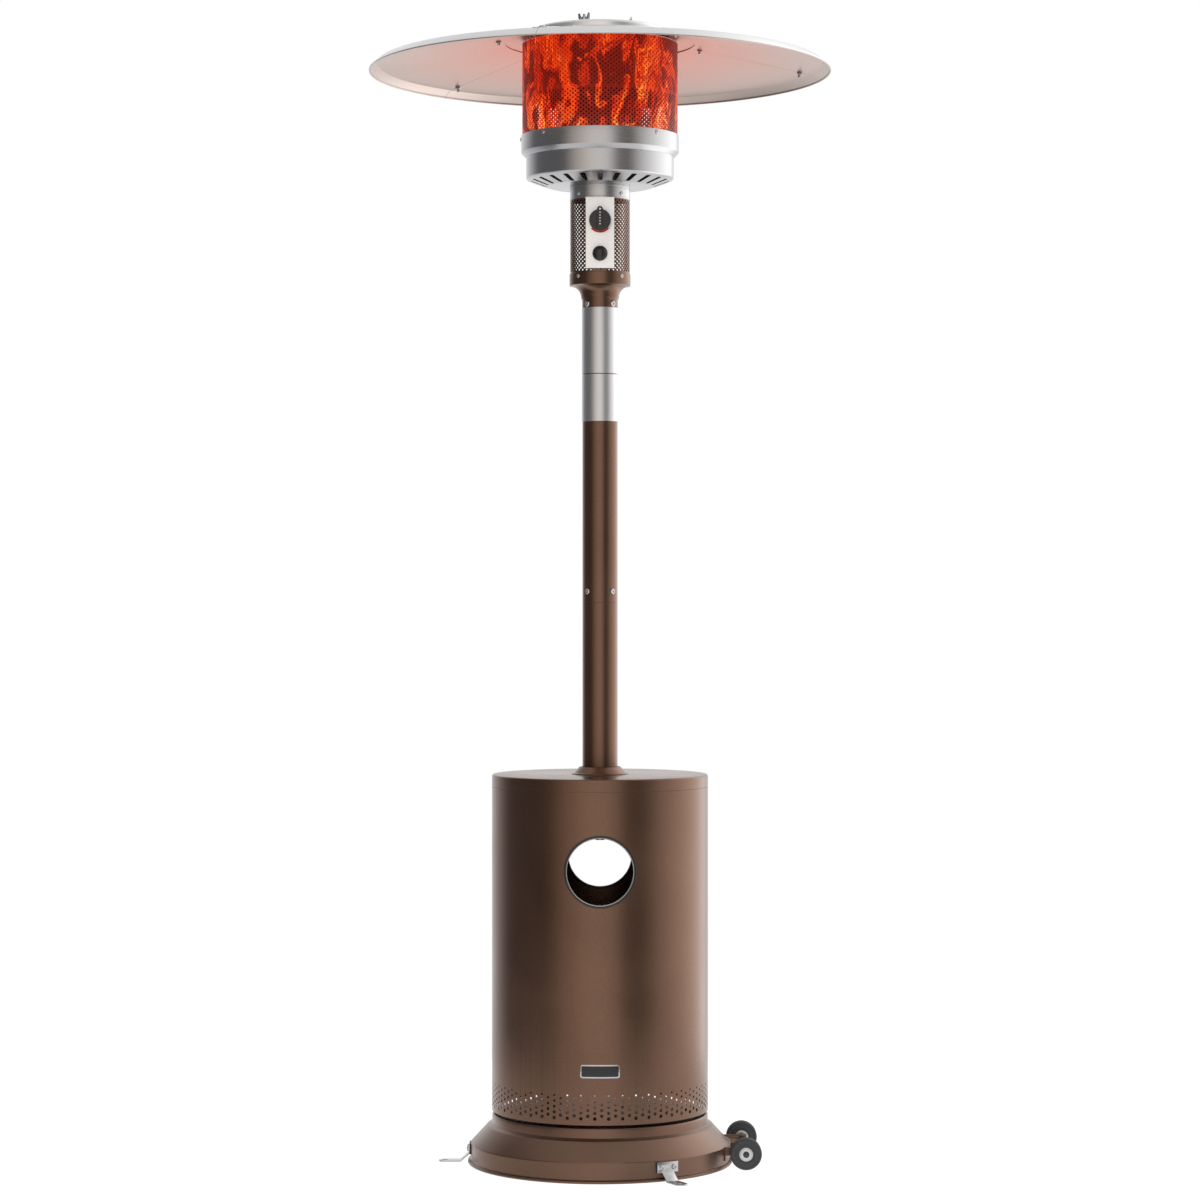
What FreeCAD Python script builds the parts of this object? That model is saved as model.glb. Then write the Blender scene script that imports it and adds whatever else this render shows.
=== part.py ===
import FreeCAD, Part
import math
import os
import Sketcher

# Free-standing gas patio heater, in millimetres. The origin is on the floor on the centre line,
# +Z is up, the control panel faces -Y and the wheels stand at +X.
# Azimuths are degrees about +Z, counted from +X.

DIMENSIONS = {
    # base pan and what is bolted to it
    "base_lip_radius": 233.5,
    "base_lip_height": 4,
    "base_band_radius": 228,
    "base_band_top": 35,
    "base_slope_radius": 199,
    "base_slope_top": 66.5,
    "base_ring_radius": 190.5,
    "base_ring_bottom": 71,
    "base_deck_top": 88,
    "base_deck_round": 4,
    "base_sheet": 2,
    "weight_inner_radius": 45,
    "weight_outer_radius": 150,
    "weight_height": 26,
    "weight_bolt_circle": 75,
    "base_bolt_height": 24,
    # anchor brackets
    "anchor_plate_back": 229.5,
    "anchor_plate_width": 41,
    "anchor_plate_bottom": 15,
    "anchor_plate_top": 33,
    "anchor_bolt_spacing": 25,
    "anchor_sheet": 2.5,
    "anchor_heel": 246,
    "anchor_eye_centre": 274,
    "anchor_eye_radius": 4.5,
    "anchor_foot_width": 23,
    # wheels
    "axle_centre": 254,
    "axle_height": 28.5,
    "axle_radius": 3.5,
    "axle_half_length": 107,
    "wheel_centre": 92.5,
    "wheel_radius": 27.5,
    "wheel_width": 22,
    "wheel_round": 4,
    "hub_radius": 12,
    "running_gap": 0.05,
    "wheel_arm_offset": 67.5,
    "wheel_arm_sheet": 3,
    "wheel_arm_height": 15,
    "wheel_plate_sheet": 2.5,
    # legs, socket and pole
    "leg_radius": 173,
    "leg_sheet": 4,
    "leg_width": 28,
    "leg_flange": 25,
    "leg_flange_sheet": 2.5,
    "socket_plate_radius": 178,
    "socket_plate_top": 679,
    "socket_plate_sheet": 3,
    "socket_bottom": 600,
    "socket_wall": 2.5,
    "pole_radius": 31,
    "pole_wall": 1.5,
    "pole_joint": 987.6,
    "pole_top": 1508,
    "pole_screw_height": 1007,
    "coupling_half_length": 48,
    "coupling_wall": 3,
    "fit_gap": 0.1,
    "sleeve_radius": 32,
    "sleeve_bottom": 1307.2,
    "sleeve_gap_bottom": 1390,
    "sleeve_gap_top": 1391.5,
    # head cup and perforated guard
    "cup_neck_radius": 31.5,
    "cup_flare_radius": 33.5,
    "cup_flare_bottom": 1526.5,
    "cup_band_radius": 53.9,
    "cup_top": 1568,
    "cup_screw_height": 1561.7,
    "cup_sheet": 2,
    "cup_spigot": 22,
    "guard_radius": 52.5,
    "guard_sheet": 1.2,
    "guard_top": 1703,
    # control panel, knob, valve and igniter
    "panel_width": 50,
    "panel_bottom": 1573.4,
    "panel_top": 1697.6,
    "panel_face": 59,
    "panel_sheet": 2,
    "knob_height": 1656.5,
    "knob_radius": 19,
    "knob_nose_radius": 5,
    "knob_back": 64,
    "knob_front": 71,
    "knob_grip_front": 75,
    "knob_grip_width": 12,
    "stem_radius": 4,
    "stem_end": 67.5,
    "knob_travel": 4,
    "stem_flat": 3,
    "valve_front": 46,
    "valve_half_width": 14,
    "valve_bottom": 1643,
    "valve_top": 1670,
    "jet_radius": 6,
    "jet_top": 1745,
    "supply_radius": 5,
    "union_radius": 10,
    "union_bottom": 580,
    "inlet_radius": 8,
    "inlet_length": 12,
    "button_height": 1599,
    "button_radius": 12,
    "button_back": 57,
    "button_side": 8,
    "button_dome": 5,
    "button_shank_radius": 5,
    "button_shank": 14,
    "igniter_front": 48,
    "igniter_length": 28,
    # burner
    "collar_neck_radius": 53.5,
    "collar_neck_bottom": 1698,
    "bowl_bottom": 1722,
    "bowl_hole_radius": 48,
    "bowl_floor_radius": 92,
    "bowl_radius": 130.5,
    "bowl_wall_bottom": 1735.7,
    "bowl_top": 1773.7,
    "bowl_sheet": 1.2,
    "collar_radius": 139.4,
    "collar_bevel_top": 1782,
    "collar_top": 1812,
    "bridge_width": 24,
    "bridge_sheet": 2,
    "burner_tube_radius": 18,
    "burner_tube_bottom": 1728,
    "burner_head_radius": 50,
    "burner_head_bottom": 1795,
    "burner_head_top": 1810,
    "screen_radius": 137.3,
    "screen_sheet": 1,
    "screen_bottom": 1790,
    "screen_top": 1973.6,
    "inner_screen_radius": 128,
    "inner_screen_bottom": 1880,
    # reflector
    "reflector_radius": 408,
    "reflector_lip_bottom": 1923.4,
    "crease_radius": 393,
    "crease_height": 1938,
    "reflector_slope": 0.169,
    "panel_inner_radius": 168,
    "disc_radius": 203,
    "disc_sheet": 1,
    "dome_radius": 123,
    "dome_foot": 1985,
    "dome_top": 2006,
    "dome_flat_radius": 70,
    "dome_round": 6,
    "dome_slope_drop": 8,
    "seam_bolt_circle": 372,
    "disc_bolt_circle": 185,
    "strap_width": 24,
    "post_circle": 55,
    "post_radius": 3,
    "post_top": 2020,
    # tank housing and table
    "shell_radius": 190.8,
    "shell_sheet": 1.2,
    "shell_bottom": 93,
    "shell_top": 663,
    "table_top_height": 684.5,
    "table_round": 3,
    "table_sheet": 1.5,
    "table_skirt_bottom": 652,
    "hole_height": 526.4,
    "hole_rim_radius": 62,
    "hole_clear_radius": 57,
    "rim_thickness": 4,
    "plate_width": 68,
    "plate_height": 23,
    "plate_round": 4.5,
    "plate_centre": 185.4,
    "plate_sheet": 0.9,
    "table_collar_foot": 50,
    "table_collar_bore": 34.4,
    "table_collar_top": 697.5,
}

UP = FreeCAD.Vector(0, 0, 1)
OUT = FreeCAD.Vector(1, 0, 0)
ACROSS = FreeCAD.Vector(0, 1, 0)
FRONTWARD = FreeCAD.Vector(0, -1, 0)
QUARTERS = (45, 135, 225, 315)
THIRDS = (0, 120, 240)
SEAMS = (15, 135, 255)
ANCHORS = {"left": 180, "front": -60, "back": 60}

doc = FreeCAD.newDocument("patio_heater")
sheet = doc.addObject("Spreadsheet::Sheet", "Dimensions")
for row, (alias, number) in enumerate(DIMENSIONS.items(), start=1):
    sheet.set(f"A{row}", alias)
    sheet.set(f"B{row}", str(number))
    sheet.setAlias(f"B{row}", alias)
doc.recompute()
parts = []


class Size:
    """A length that carries both its value and the spreadsheet formula behind it."""

    def __init__(self, value, formula):
        self.value = value
        self.formula = formula

    def __add__(self, other):
        other = as_size(other)
        return Size(self.value + other.value, f"({self.formula} + {other.formula})")

    def __sub__(self, other):
        other = as_size(other)
        return Size(self.value - other.value, f"({self.formula} - {other.formula})")

    def __mul__(self, other):
        other = as_size(other)
        return Size(self.value * other.value, f"({self.formula} * {other.formula})")

    def __truediv__(self, other):
        other = as_size(other)
        return Size(self.value / other.value, f"({self.formula} / {other.formula})")

    def __neg__(self):
        return Size(-self.value, f"(0 - {self.formula})")

    def __radd__(self, other):
        return as_size(other) + self

    def __rsub__(self, other):
        return as_size(other) - self

    def __rmul__(self, other):
        return as_size(other) * self


class Sizes:
    """Gives each spreadsheet cell as a Size, under its alias."""

    def __getattr__(self, alias):
        return Size(float(sheet.get(alias)), f"Dimensions.{alias}")


def as_size(number):
    if isinstance(number, Size):
        return number
    return Size(float(number), f"({float(number):.9f})")


S = Sizes()


# ---------------------------------------------------------------- building helpers


def bind(solid, name, size):
    solid.setExpression(name, as_size(size).formula)


def seat(solid, base, rotation=None):
    """Puts a solid's own origin at base, which is three sizes."""
    if rotation is not None:
        solid.Placement = FreeCAD.Placement(FreeCAD.Vector(), rotation)
    for letter, size in zip("xyz", base):
        bind(solid, f"Placement.Base.{letter}", size)


def spun(azimuth):
    return FreeCAD.Placement(FreeCAD.Vector(), FreeCAD.Rotation(UP, azimuth))


def cylinder(name, radius, length, base, direction=UP):
    solid = doc.addObject("Part::Cylinder", name)
    bind(solid, "Radius", radius)
    bind(solid, "Height", length)
    seat(solid, base, FreeCAD.Rotation(UP, direction))
    return solid


def box(name, low, high, rotation=None):
    """A box between two corners, turned about its low corner if a rotation is given."""
    solid = doc.addObject("Part::Box", name)
    for side, start, stop in zip(("Length", "Width", "Height"), low, high):
        bind(solid, side, as_size(stop) - start)
    seat(solid, low, rotation)
    return solid


def joined(kind, label, pieces):
    result = doc.addObject(kind, label)
    if kind == "Part::Compound":
        result.Links = pieces
    else:
        result.Shapes = pieces
        result.Refine = True
    return result


def fuse(label, *pieces):
    return joined("Part::MultiFuse", label, list(pieces))


def group(label, pieces):
    return joined("Part::Compound", label, list(pieces))


def cut(label, base, *tools):
    result = doc.addObject("Part::Cut", label)
    result.Base = base
    result.Tool = tools[0] if len(tools) == 1 else group(label + "_tools", tools)
    result.Refine = True
    return result


def common(label, first, second):
    result = doc.addObject("Part::Common", label)
    result.Base = first
    result.Tool = second
    return result


def arc_middle(start, stop, radius):
    """Middle of the arc from start to stop. A positive radius turns counter-clockwise."""
    chord = stop - start
    left = FreeCAD.Vector(-chord.y, chord.x, 0).normalize()
    reach = math.sqrt(radius ** 2 - (chord.Length / 2) ** 2)
    side = math.copysign(1, radius)
    return (start + stop) / 2 + left * side * (reach - abs(radius))


def outlined(body, name, outline):
    """Closed sketch on the body's XZ plane. Each vertex is (across, up) or (across, up, radius),
    where the radius makes an arc of the edge that arrives at that vertex."""
    sketch = body.newObject("Sketcher::SketchObject", name)
    plane = [feature for feature in body.Origin.OriginFeatures if feature.Role == "XZ_Plane"][0]
    sketch.AttachmentSupport = [(plane, "")]
    sketch.MapMode = "FlatFace"
    points = [FreeCAD.Vector(as_size(v[0]).value, as_size(v[1]).value, 0) for v in outline]
    ends = []
    for edge, start in enumerate(points):
        following = (edge + 1) % len(points)
        vertex = outline[following]
        clockwise = False
        if len(vertex) == 3:
            middle = arc_middle(start, points[following], as_size(vertex[2]).value)
            sketch.addGeometry(Part.Arc(start, middle, points[following]))
            radius = as_size(vertex[2])
            clockwise = radius.value < 0
            radius = -radius if clockwise else radius
            dimension(sketch, Sketcher.Constraint("Radius", edge, radius.value), radius)
        else:
            sketch.addGeometry(Part.LineSegment(start, points[following]))
        ends.append((2, 1) if clockwise else (1, 2))
    for edge, vertex in enumerate(outline):
        before = edge - 1 if edge else len(outline) - 1
        sketch.addConstraint(Sketcher.Constraint("Coincident", before, ends[before][1], edge, ends[edge][0]))
        for kind, axis, size in (("DistanceX", -2, vertex[0]), ("DistanceY", -1, vertex[1])):
            size = as_size(size)
            if abs(size.value) < 1e-9:
                sketch.addConstraint(Sketcher.Constraint("PointOnObject", edge, ends[edge][0], axis))
            else:
                rule = Sketcher.Constraint(kind, -1, 1, edge, ends[edge][0], size.value)
                dimension(sketch, rule, size)
    return sketch


def dimension(sketch, rule, size):
    """Adds a dimension to the sketch and ties it to its spreadsheet formula."""
    index = sketch.addConstraint(rule)
    sketch.setExpression(f"Constraints[{index}]", size.formula)


def turned(label, outline, angle=360):
    """A body of revolution about Z. A part turn is centred on azimuth 0."""
    body = doc.addObject("PartDesign::Body", label)
    sketch = outlined(body, label + "_outline", outline)
    revolution = body.newObject("PartDesign::Revolution", label + "_turn")
    revolution.Profile = sketch
    revolution.ReferenceAxis = (sketch, ["V_Axis"])
    revolution.Angle = angle
    revolution.Midplane = angle < 360
    body.Tip = revolution
    return body


def tube(label, outer, inner, bottom, top):
    return turned(label, [(inner, bottom), (outer, bottom), (outer, top), (inner, top)])


def strip(label, outline, width):
    """A bent strip: its side view is outlined on XZ and its width is centred on Y = 0."""
    body = doc.addObject("PartDesign::Body", label)
    sketch = outlined(body, label + "_outline", outline)
    pad = body.newObject("PartDesign::Pad", label + "_pad")
    pad.Profile = sketch
    pad.Midplane = True
    bind(pad, "Length", width)
    body.Tip = pad
    return body


def keep(solid, label=None):
    """Marks a finished sub-part, whose label names its file."""
    if label:
        solid.Label = label
    parts.append(solid)
    return solid


def radial_screw(name, surface, height, head, head_height, shank, depth, offset=0):
    """A screw driven in along -X, whose head sits on a wall at the given radius."""
    cap = cylinder(name + "_cap", head, head_height, (surface, offset, height), OUT)
    stem = cylinder(name + "_stem", shank, depth, (as_size(surface) - depth, offset, height), OUT)
    return fuse(name, cap, stem)


def upright_bolt(name, reach, surface, head, head_height, shank, depth, tilt=0, nut=None):
    """A bolt along Z with its head on top of a surface, and a nut (radius, height, drop) below."""
    lean = FreeCAD.Rotation(ACROSS, tilt)
    down = lean.multVec(FreeCAD.Vector(0, 0, -1))
    top = lean.multVec(UP)
    start = (as_size(reach) + down.x * depth, 0, as_size(surface) + down.z * depth)
    pieces = [cylinder(name + "_cap", head, head_height, (reach, 0, surface), top),
              cylinder(name + "_stem", shank, depth, start, top)]
    if nut:
        radius, thickness, drop = nut
        base = (as_size(reach) + down.x * drop, 0, as_size(surface) + down.z * drop)
        pieces.append(cylinder(name + "_nut", radius, thickness, base, top))
    return fuse(name, *pieces)


def around(azimuths, make, name):
    """One copy of a local solid at each azimuth."""
    copies = []
    for number, azimuth in enumerate(azimuths, start=1):
        copy = make(f"{name}_{number}")
        copy.Placement = spun(azimuth)
        copies.append(copy)
    return copies


# ---------------------------------------------------------------- base


def base_pan():
    inner_ring = S.base_ring_radius - S.base_sheet
    turned_edge = S.base_ring_radius - S.base_deck_round
    keep(turned("base_pan", [
        (S.base_band_radius - S.base_sheet, 0),
        (S.base_lip_radius, 0),
        (S.base_lip_radius, S.base_lip_height),
        (S.base_band_radius, S.base_lip_height + S.base_sheet),
        (S.base_band_radius, S.base_band_top),
        (S.base_slope_radius, S.base_slope_top),
        (S.base_ring_radius, S.base_ring_bottom),
        (S.base_ring_radius, S.base_deck_top - S.base_deck_round),
        (turned_edge, S.base_deck_top, S.base_deck_round),
        (0, S.base_deck_top),
        (0, S.base_deck_top - S.base_sheet),
        (turned_edge, S.base_deck_top - S.base_sheet),
        (inner_ring, S.base_deck_top - S.base_deck_round, -(S.base_deck_round - S.base_sheet)),
        (inner_ring, S.base_ring_bottom - S.base_sheet / 2),
        (S.base_slope_radius - S.base_sheet, S.base_slope_top - S.base_sheet / 2),
        (S.base_band_radius - S.base_sheet, S.base_band_top - S.base_sheet / 2),
    ]))


def base_weight():
    top = S.base_deck_top - S.base_sheet
    keep(tube("base_weight", S.weight_outer_radius, S.weight_inner_radius, top - S.weight_height, top))


def base_bolts():
    """Weight bolts and leg foot bolts stand in the deck; the wheel bracket's go into the band."""
    leg_reach = S.leg_radius - S.leg_flange / 2
    foot_top = S.base_deck_top + S.leg_flange_sheet
    plate_face = S.base_band_radius + S.wheel_plate_sheet

    def weight_bolt(name):
        return upright_bolt(name, S.weight_bolt_circle, S.base_deck_top, 6.5, 4, 4, 24)

    def foot_bolt(name):
        return upright_bolt(name, leg_reach, foot_top, 6, 4, 3, 12)

    def top_bolt(name):
        return upright_bolt(name, leg_reach, S.socket_plate_top, 6, 2.5, 3, 12)

    def band_bolt(name):
        return radial_screw(name, plate_face - 0.3, S.base_bolt_height, 4.5, 3, 3, 10)

    pieces = around((60, 180, 300), weight_bolt, "weight_bolt")
    pieces += around(THIRDS, foot_bolt, "foot_bolt")
    pieces += around(THIRDS, top_bolt, "top_bolt")
    pieces += around((-11, 11), band_bolt, "band_bolt")
    keep(group("base_bolts", pieces))


def anchor_bracket(side, azimuth):
    name = f"anchor_bracket_{side}"
    face = S.anchor_plate_back + S.anchor_sheet
    half = S.anchor_plate_width / 2
    plate = box(name + "_plate", (S.anchor_plate_back, -half, S.anchor_plate_bottom),
                (face, half, S.anchor_plate_top))
    strap = strip(name + "_strap", [
        (S.anchor_plate_back, S.anchor_plate_bottom),
        (S.anchor_heel, 0),
        (S.anchor_eye_centre, 0),
        (S.anchor_eye_centre, S.anchor_sheet),
        (S.anchor_heel + S.anchor_sheet / 2, S.anchor_sheet),
        (face, S.anchor_plate_bottom + S.anchor_sheet / 2),
        (face, S.anchor_plate_top),
        (S.anchor_plate_back, S.anchor_plate_top),
    ], S.anchor_foot_width)
    toe = cylinder(name + "_toe", S.anchor_foot_width / 2, S.anchor_sheet, (S.anchor_eye_centre, 0, 0))
    eye = cylinder(name + "_eye", S.anchor_eye_radius, S.anchor_sheet + 2, (S.anchor_eye_centre, 0, -1))
    bracket = cut(name, fuse(name + "_blank", plate, strap, toe), eye)
    bracket.Placement = spun(azimuth)
    keep(bracket)


def anchor_pads():
    """Pads that fill the space between the round band and the flat bracket plates."""
    half = S.anchor_plate_width / 2

    def pad(name):
        block = box(name + "_block", (S.base_band_radius - 2, -half, S.anchor_plate_bottom),
                    (S.anchor_plate_back, half, S.anchor_plate_top))
        band = cylinder(name + "_band", S.base_band_radius, 60, (0, 0, -10))
        return cut(name, block, band)

    keep(group("anchor_pads", around(ANCHORS.values(), pad, "anchor_pad")))


def anchor_bolts():
    face = S.anchor_plate_back + S.anchor_sheet

    def pair(name):
        screws = [radial_screw(f"{name}_{side}", face, S.base_bolt_height, 4.5, 3, 3, 12,
                               S.anchor_bolt_spacing / 2 * side) for side in (-1, 1)]
        return group(name, screws)

    keep(group("anchor_bolts", around(ANCHORS.values(), pair, "anchor_bolt_pair")))


def wheel_bracket():
    """A curved plate on the band with two arms that carry the axle inside the wheels."""
    low = S.axle_height - S.wheel_arm_height / 2
    high = S.axle_height + S.wheel_arm_height / 2
    outer = S.base_band_radius + S.wheel_plate_sheet
    bottom = S.base_lip_height + S.base_sheet + 6
    plate = turned("wheel_bracket_plate", [
        (S.base_band_radius, bottom), (outer, bottom),
        (outer, S.base_band_top), (S.base_band_radius, S.base_band_top)], angle=36)
    arms = []
    for side in (-1, 1):
        inner = S.wheel_arm_offset * side - S.wheel_arm_sheet / 2
        block = box(f"wheel_arm_block_{side}", (S.base_band_radius - 14, inner, low),
                    (S.axle_centre + 8, inner + S.wheel_arm_sheet, high))
        band = cylinder(f"wheel_arm_band_{side}", S.base_band_radius, 80, (0, 0, -20))
        arms.append(cut(f"wheel_arm_{side}", block, band))
    bore = cylinder("wheel_bracket_bore", S.axle_radius + S.running_gap, 180,
                    (S.axle_centre, -90, S.axle_height), ACROSS)
    keep(cut("wheel_bracket", fuse("wheel_bracket_blank", plate, *arms), bore))


def axle():
    keep(cylinder("wheel_axle", S.axle_radius, S.axle_half_length * 2,
                  (S.axle_centre, -S.axle_half_length, S.axle_height), ACROSS))
    clips = []
    inner = S.wheel_centre + S.wheel_width / 2 + 0.6
    for side, start in (("front", -inner - 1), ("back", inner)):
        base = (S.axle_centre, start, S.axle_height)
        disc = cylinder(f"axle_clip_{side}_disc", S.axle_radius + 2, 1, base, ACROSS)
        core = cylinder(f"axle_clip_{side}_core", S.axle_radius, 1, base, ACROSS)
        clips.append(cut(f"axle_clip_{side}", disc, core))
    keep(group("axle_clips", clips))


def wheel(side, centre):
    """A solid tyre pressed on a hub that runs on the axle."""
    width = S.wheel_width
    shoulder = S.wheel_radius - S.wheel_round
    lying = FreeCAD.Rotation(UP, ACROSS)
    base = (S.axle_centre, centre - width / 2, S.axle_height)
    tyre = turned(f"wheel_tyre_{side}", [
        (S.hub_radius, 0), (shoulder, 0), (S.wheel_radius, S.wheel_round, S.wheel_round),
        (S.wheel_radius, width - S.wheel_round), (shoulder, width, S.wheel_round), (S.hub_radius, width)])
    hub = tube(f"wheel_hub_{side}", S.hub_radius, S.axle_radius + S.running_gap, 0, width)
    for piece in (tyre, hub):
        seat(piece, base, lying)
        keep(piece)


# ---------------------------------------------------------------- legs, socket and pole


def support_leg(number, azimuth):
    outer = S.leg_radius + S.leg_sheet / 2
    inner = outer - S.leg_sheet
    toe = S.leg_radius - S.leg_flange
    top = S.socket_plate_top - S.socket_plate_sheet
    leg = strip(f"support_leg_{number}", [
        (toe, S.base_deck_top), (outer, S.base_deck_top), (outer, top), (toe, top),
        (toe, top - S.leg_flange_sheet), (inner, top - S.leg_flange_sheet),
        (inner, S.base_deck_top + S.leg_flange_sheet), (toe, S.base_deck_top + S.leg_flange_sheet),
    ], S.leg_width)
    leg.Placement = spun(azimuth)
    keep(leg)


def pole_socket():
    """Top plate on the legs, with the hanging tube that the pole stands in."""
    bore = S.pole_radius + S.fit_gap
    wall = bore + S.socket_wall
    plate_bottom = S.socket_plate_top - S.socket_plate_sheet
    keep(turned("pole_socket", [
        (S.supply_radius + S.fit_gap, S.socket_bottom), (wall, S.socket_bottom), (wall, plate_bottom),
        (S.socket_plate_radius, plate_bottom), (S.socket_plate_radius, S.socket_plate_top),
        (bore, S.socket_plate_top), (bore, S.socket_bottom + S.socket_plate_sheet),
        (S.supply_radius + S.fit_gap, S.socket_bottom + S.socket_plate_sheet)]))


def pole():
    inner = S.pole_radius - S.pole_wall
    foot = S.socket_bottom + S.socket_plate_sheet
    keep(tube("pole_lower", S.pole_radius, inner, foot, S.pole_joint))
    keep(tube("pole_upper", S.pole_radius, inner, S.pole_joint, S.pole_top))
    sleeve = inner - S.fit_gap
    keep(tube("pole_coupling", sleeve, sleeve - S.coupling_wall,
              S.pole_joint - S.coupling_half_length, S.pole_joint + S.coupling_half_length))

    def screw(name):
        return radial_screw(name, S.pole_radius - 0.3, S.pole_screw_height, 5, 2.7, 2.5, 5)

    keep(group("pole_screws", around(QUARTERS, screw, "pole_screw")))
    bore = S.pole_radius + S.fit_gap
    keep(tube("steel_sleeve_lower", S.sleeve_radius, bore, S.sleeve_bottom, S.sleeve_gap_bottom))
    keep(tube("steel_sleeve_upper", S.sleeve_radius, bore, S.sleeve_gap_top, S.pole_top))


# ---------------------------------------------------------------- head, guard and controls


def head_cup():
    """Neck with a spigot into the pole, a trumpet flare and a band that carries the guard."""
    spigot = S.pole_radius - S.pole_wall - S.fit_gap
    bore = spigot - S.cup_sheet
    flare = S.cup_band_radius - S.cup_flare_radius
    flare_top = S.cup_flare_bottom + flare
    band_inner = S.cup_band_radius - S.cup_sheet
    inner_rise = math.sqrt((flare.value + S.cup_sheet.value) ** 2 - S.cup_sheet.value ** 2)
    keep(turned("head_cup", [
        (bore, S.pole_top - S.cup_spigot), (spigot, S.pole_top - S.cup_spigot), (spigot, S.pole_top),
        (S.cup_neck_radius, S.pole_top), (S.cup_neck_radius, S.cup_flare_bottom - 5),
        (S.cup_flare_radius, S.cup_flare_bottom), (S.cup_band_radius, flare_top, -flare),
        (S.cup_band_radius, S.cup_top), (band_inner, S.cup_top),
        (band_inner, S.cup_flare_bottom + inner_rise),
        (S.cup_flare_radius - S.cup_sheet, S.cup_flare_bottom, flare + S.cup_sheet),
        (bore, S.cup_flare_bottom - 5)]))


def head_screws():
    """Pan-head screws of the neck, the cup band, the neck collar and the burner collar."""
    rows = (("neck", S.cup_neck_radius, S.pole_top + 6.2, 6, 3.2, QUARTERS),
            ("band", S.cup_band_radius, S.cup_screw_height, 4, 2.2, QUARTERS),
            ("throat", S.collar_neck_radius, S.collar_neck_bottom + 8.5, 4, 2.2, QUARTERS),
            ("burner", S.collar_radius, S.collar_top - 6, 4, 2.2, QUARTERS + (180,)))
    pieces = []
    for name, surface, height, head, head_height, azimuths in rows:
        def screw(label, surface=surface, height=height, head=head, head_height=head_height):
            return radial_screw(label, surface - 0.4, height, head, head_height, 2, 4.5)

        pieces += around(azimuths, screw, f"{name}_screw")
    keep(group("head_screws", pieces))


def control_guard():
    inner = S.guard_radius - S.guard_sheet
    wall = tube("control_guard_wall", S.guard_radius, inner, S.cup_top, S.guard_top)
    window = box("control_guard_window", (-S.panel_width / 2 + 4, -S.guard_radius - 5, S.panel_bottom + 4),
                 (S.panel_width / 2 - 4, -S.guard_radius / 2, S.panel_top - 4))
    keep(cut("control_guard", wall, window))


def control_panel():
    """A shallow tray on the front of the guard, open at the back."""
    half = S.panel_width / 2
    tray = box("control_panel_tray", (-half, -S.panel_face, S.panel_bottom), (half, -40, S.panel_top))
    hollow = box("control_panel_hollow",
                 (-half + S.panel_sheet, -S.panel_face + S.panel_sheet, S.panel_bottom + S.panel_sheet),
                 (half - S.panel_sheet, -38, S.panel_top - S.panel_sheet))
    drum = cylinder("control_panel_drum", S.guard_radius + S.fit_gap, 160, (0, 0, S.cup_top - 10))
    knob_hole = cylinder("control_panel_knob_hole", S.stem_radius + 1, 12,
                         (0, -S.panel_face + 6, S.knob_height), FRONTWARD)
    button_hole = cylinder("control_panel_button_hole", S.button_radius + 0.4, 12,
                           (0, -S.panel_face + 6, S.button_height), FRONTWARD)
    tools = fuse("control_panel_tools", hollow, drum, knob_hole, button_hole)
    keep(cut("control_panel", tray, tools))


def valve():
    """Gas valve with its stem socket facing the panel and its jet standing on the centre line."""
    half = S.valve_half_width
    block = box("gas_valve_block", (-half, -S.valve_front, S.valve_bottom), (half, 8, S.valve_top))
    jet = cylinder("gas_valve_jet", S.jet_radius, S.jet_top - S.valve_bottom, (0, 0, S.valve_bottom))
    bore = cylinder("gas_valve_bore", S.stem_radius + S.running_gap, 20,
                    (0, -S.valve_front + 17, S.knob_height), FRONTWARD)
    keep(cut("gas_valve", fuse("gas_valve_blank", block, jet), bore))
    start = S.valve_front - 16
    rod = cylinder("valve_stem_rod", S.stem_radius, S.stem_end - start, (0, -start, S.knob_height), FRONTWARD)
    flat = box("valve_stem_flat", (-6, -S.stem_end - 1, S.knob_height + S.stem_flat),
               (6, -S.knob_back + S.knob_travel + 1, S.knob_height + 6))
    keep(cut("valve_stem", rod, flat))


def control_knob():
    height = S.knob_height
    half_grip = S.knob_grip_width / 2
    depth = S.knob_front - S.knob_back
    disc = cylinder("control_knob_disc", S.knob_radius, depth, (0, -S.knob_back, height), FRONTWARD)
    nose = cylinder("control_knob_nose", S.knob_nose_radius, depth,
                    (0, -S.knob_back, height + S.knob_radius), FRONTWARD)
    grip = box("control_knob_grip", (-half_grip, -S.knob_grip_front, height - S.knob_radius + 2),
               (half_grip, -S.knob_back, height + S.knob_radius - 2))
    hole = cylinder("control_knob_hole", S.stem_radius + S.running_gap, 9, (0, -S.knob_back + 1, height),
                    FRONTWARD)
    key = box("control_knob_key", (-6, -S.knob_grip_front, height + S.stem_flat + S.running_gap),
              (6, -S.knob_back + 2, height + 8))
    keep(cut("control_knob", fuse("control_knob_blank", disc, nose, grip),
             cut("control_knob_bore", hole, key)))


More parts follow.
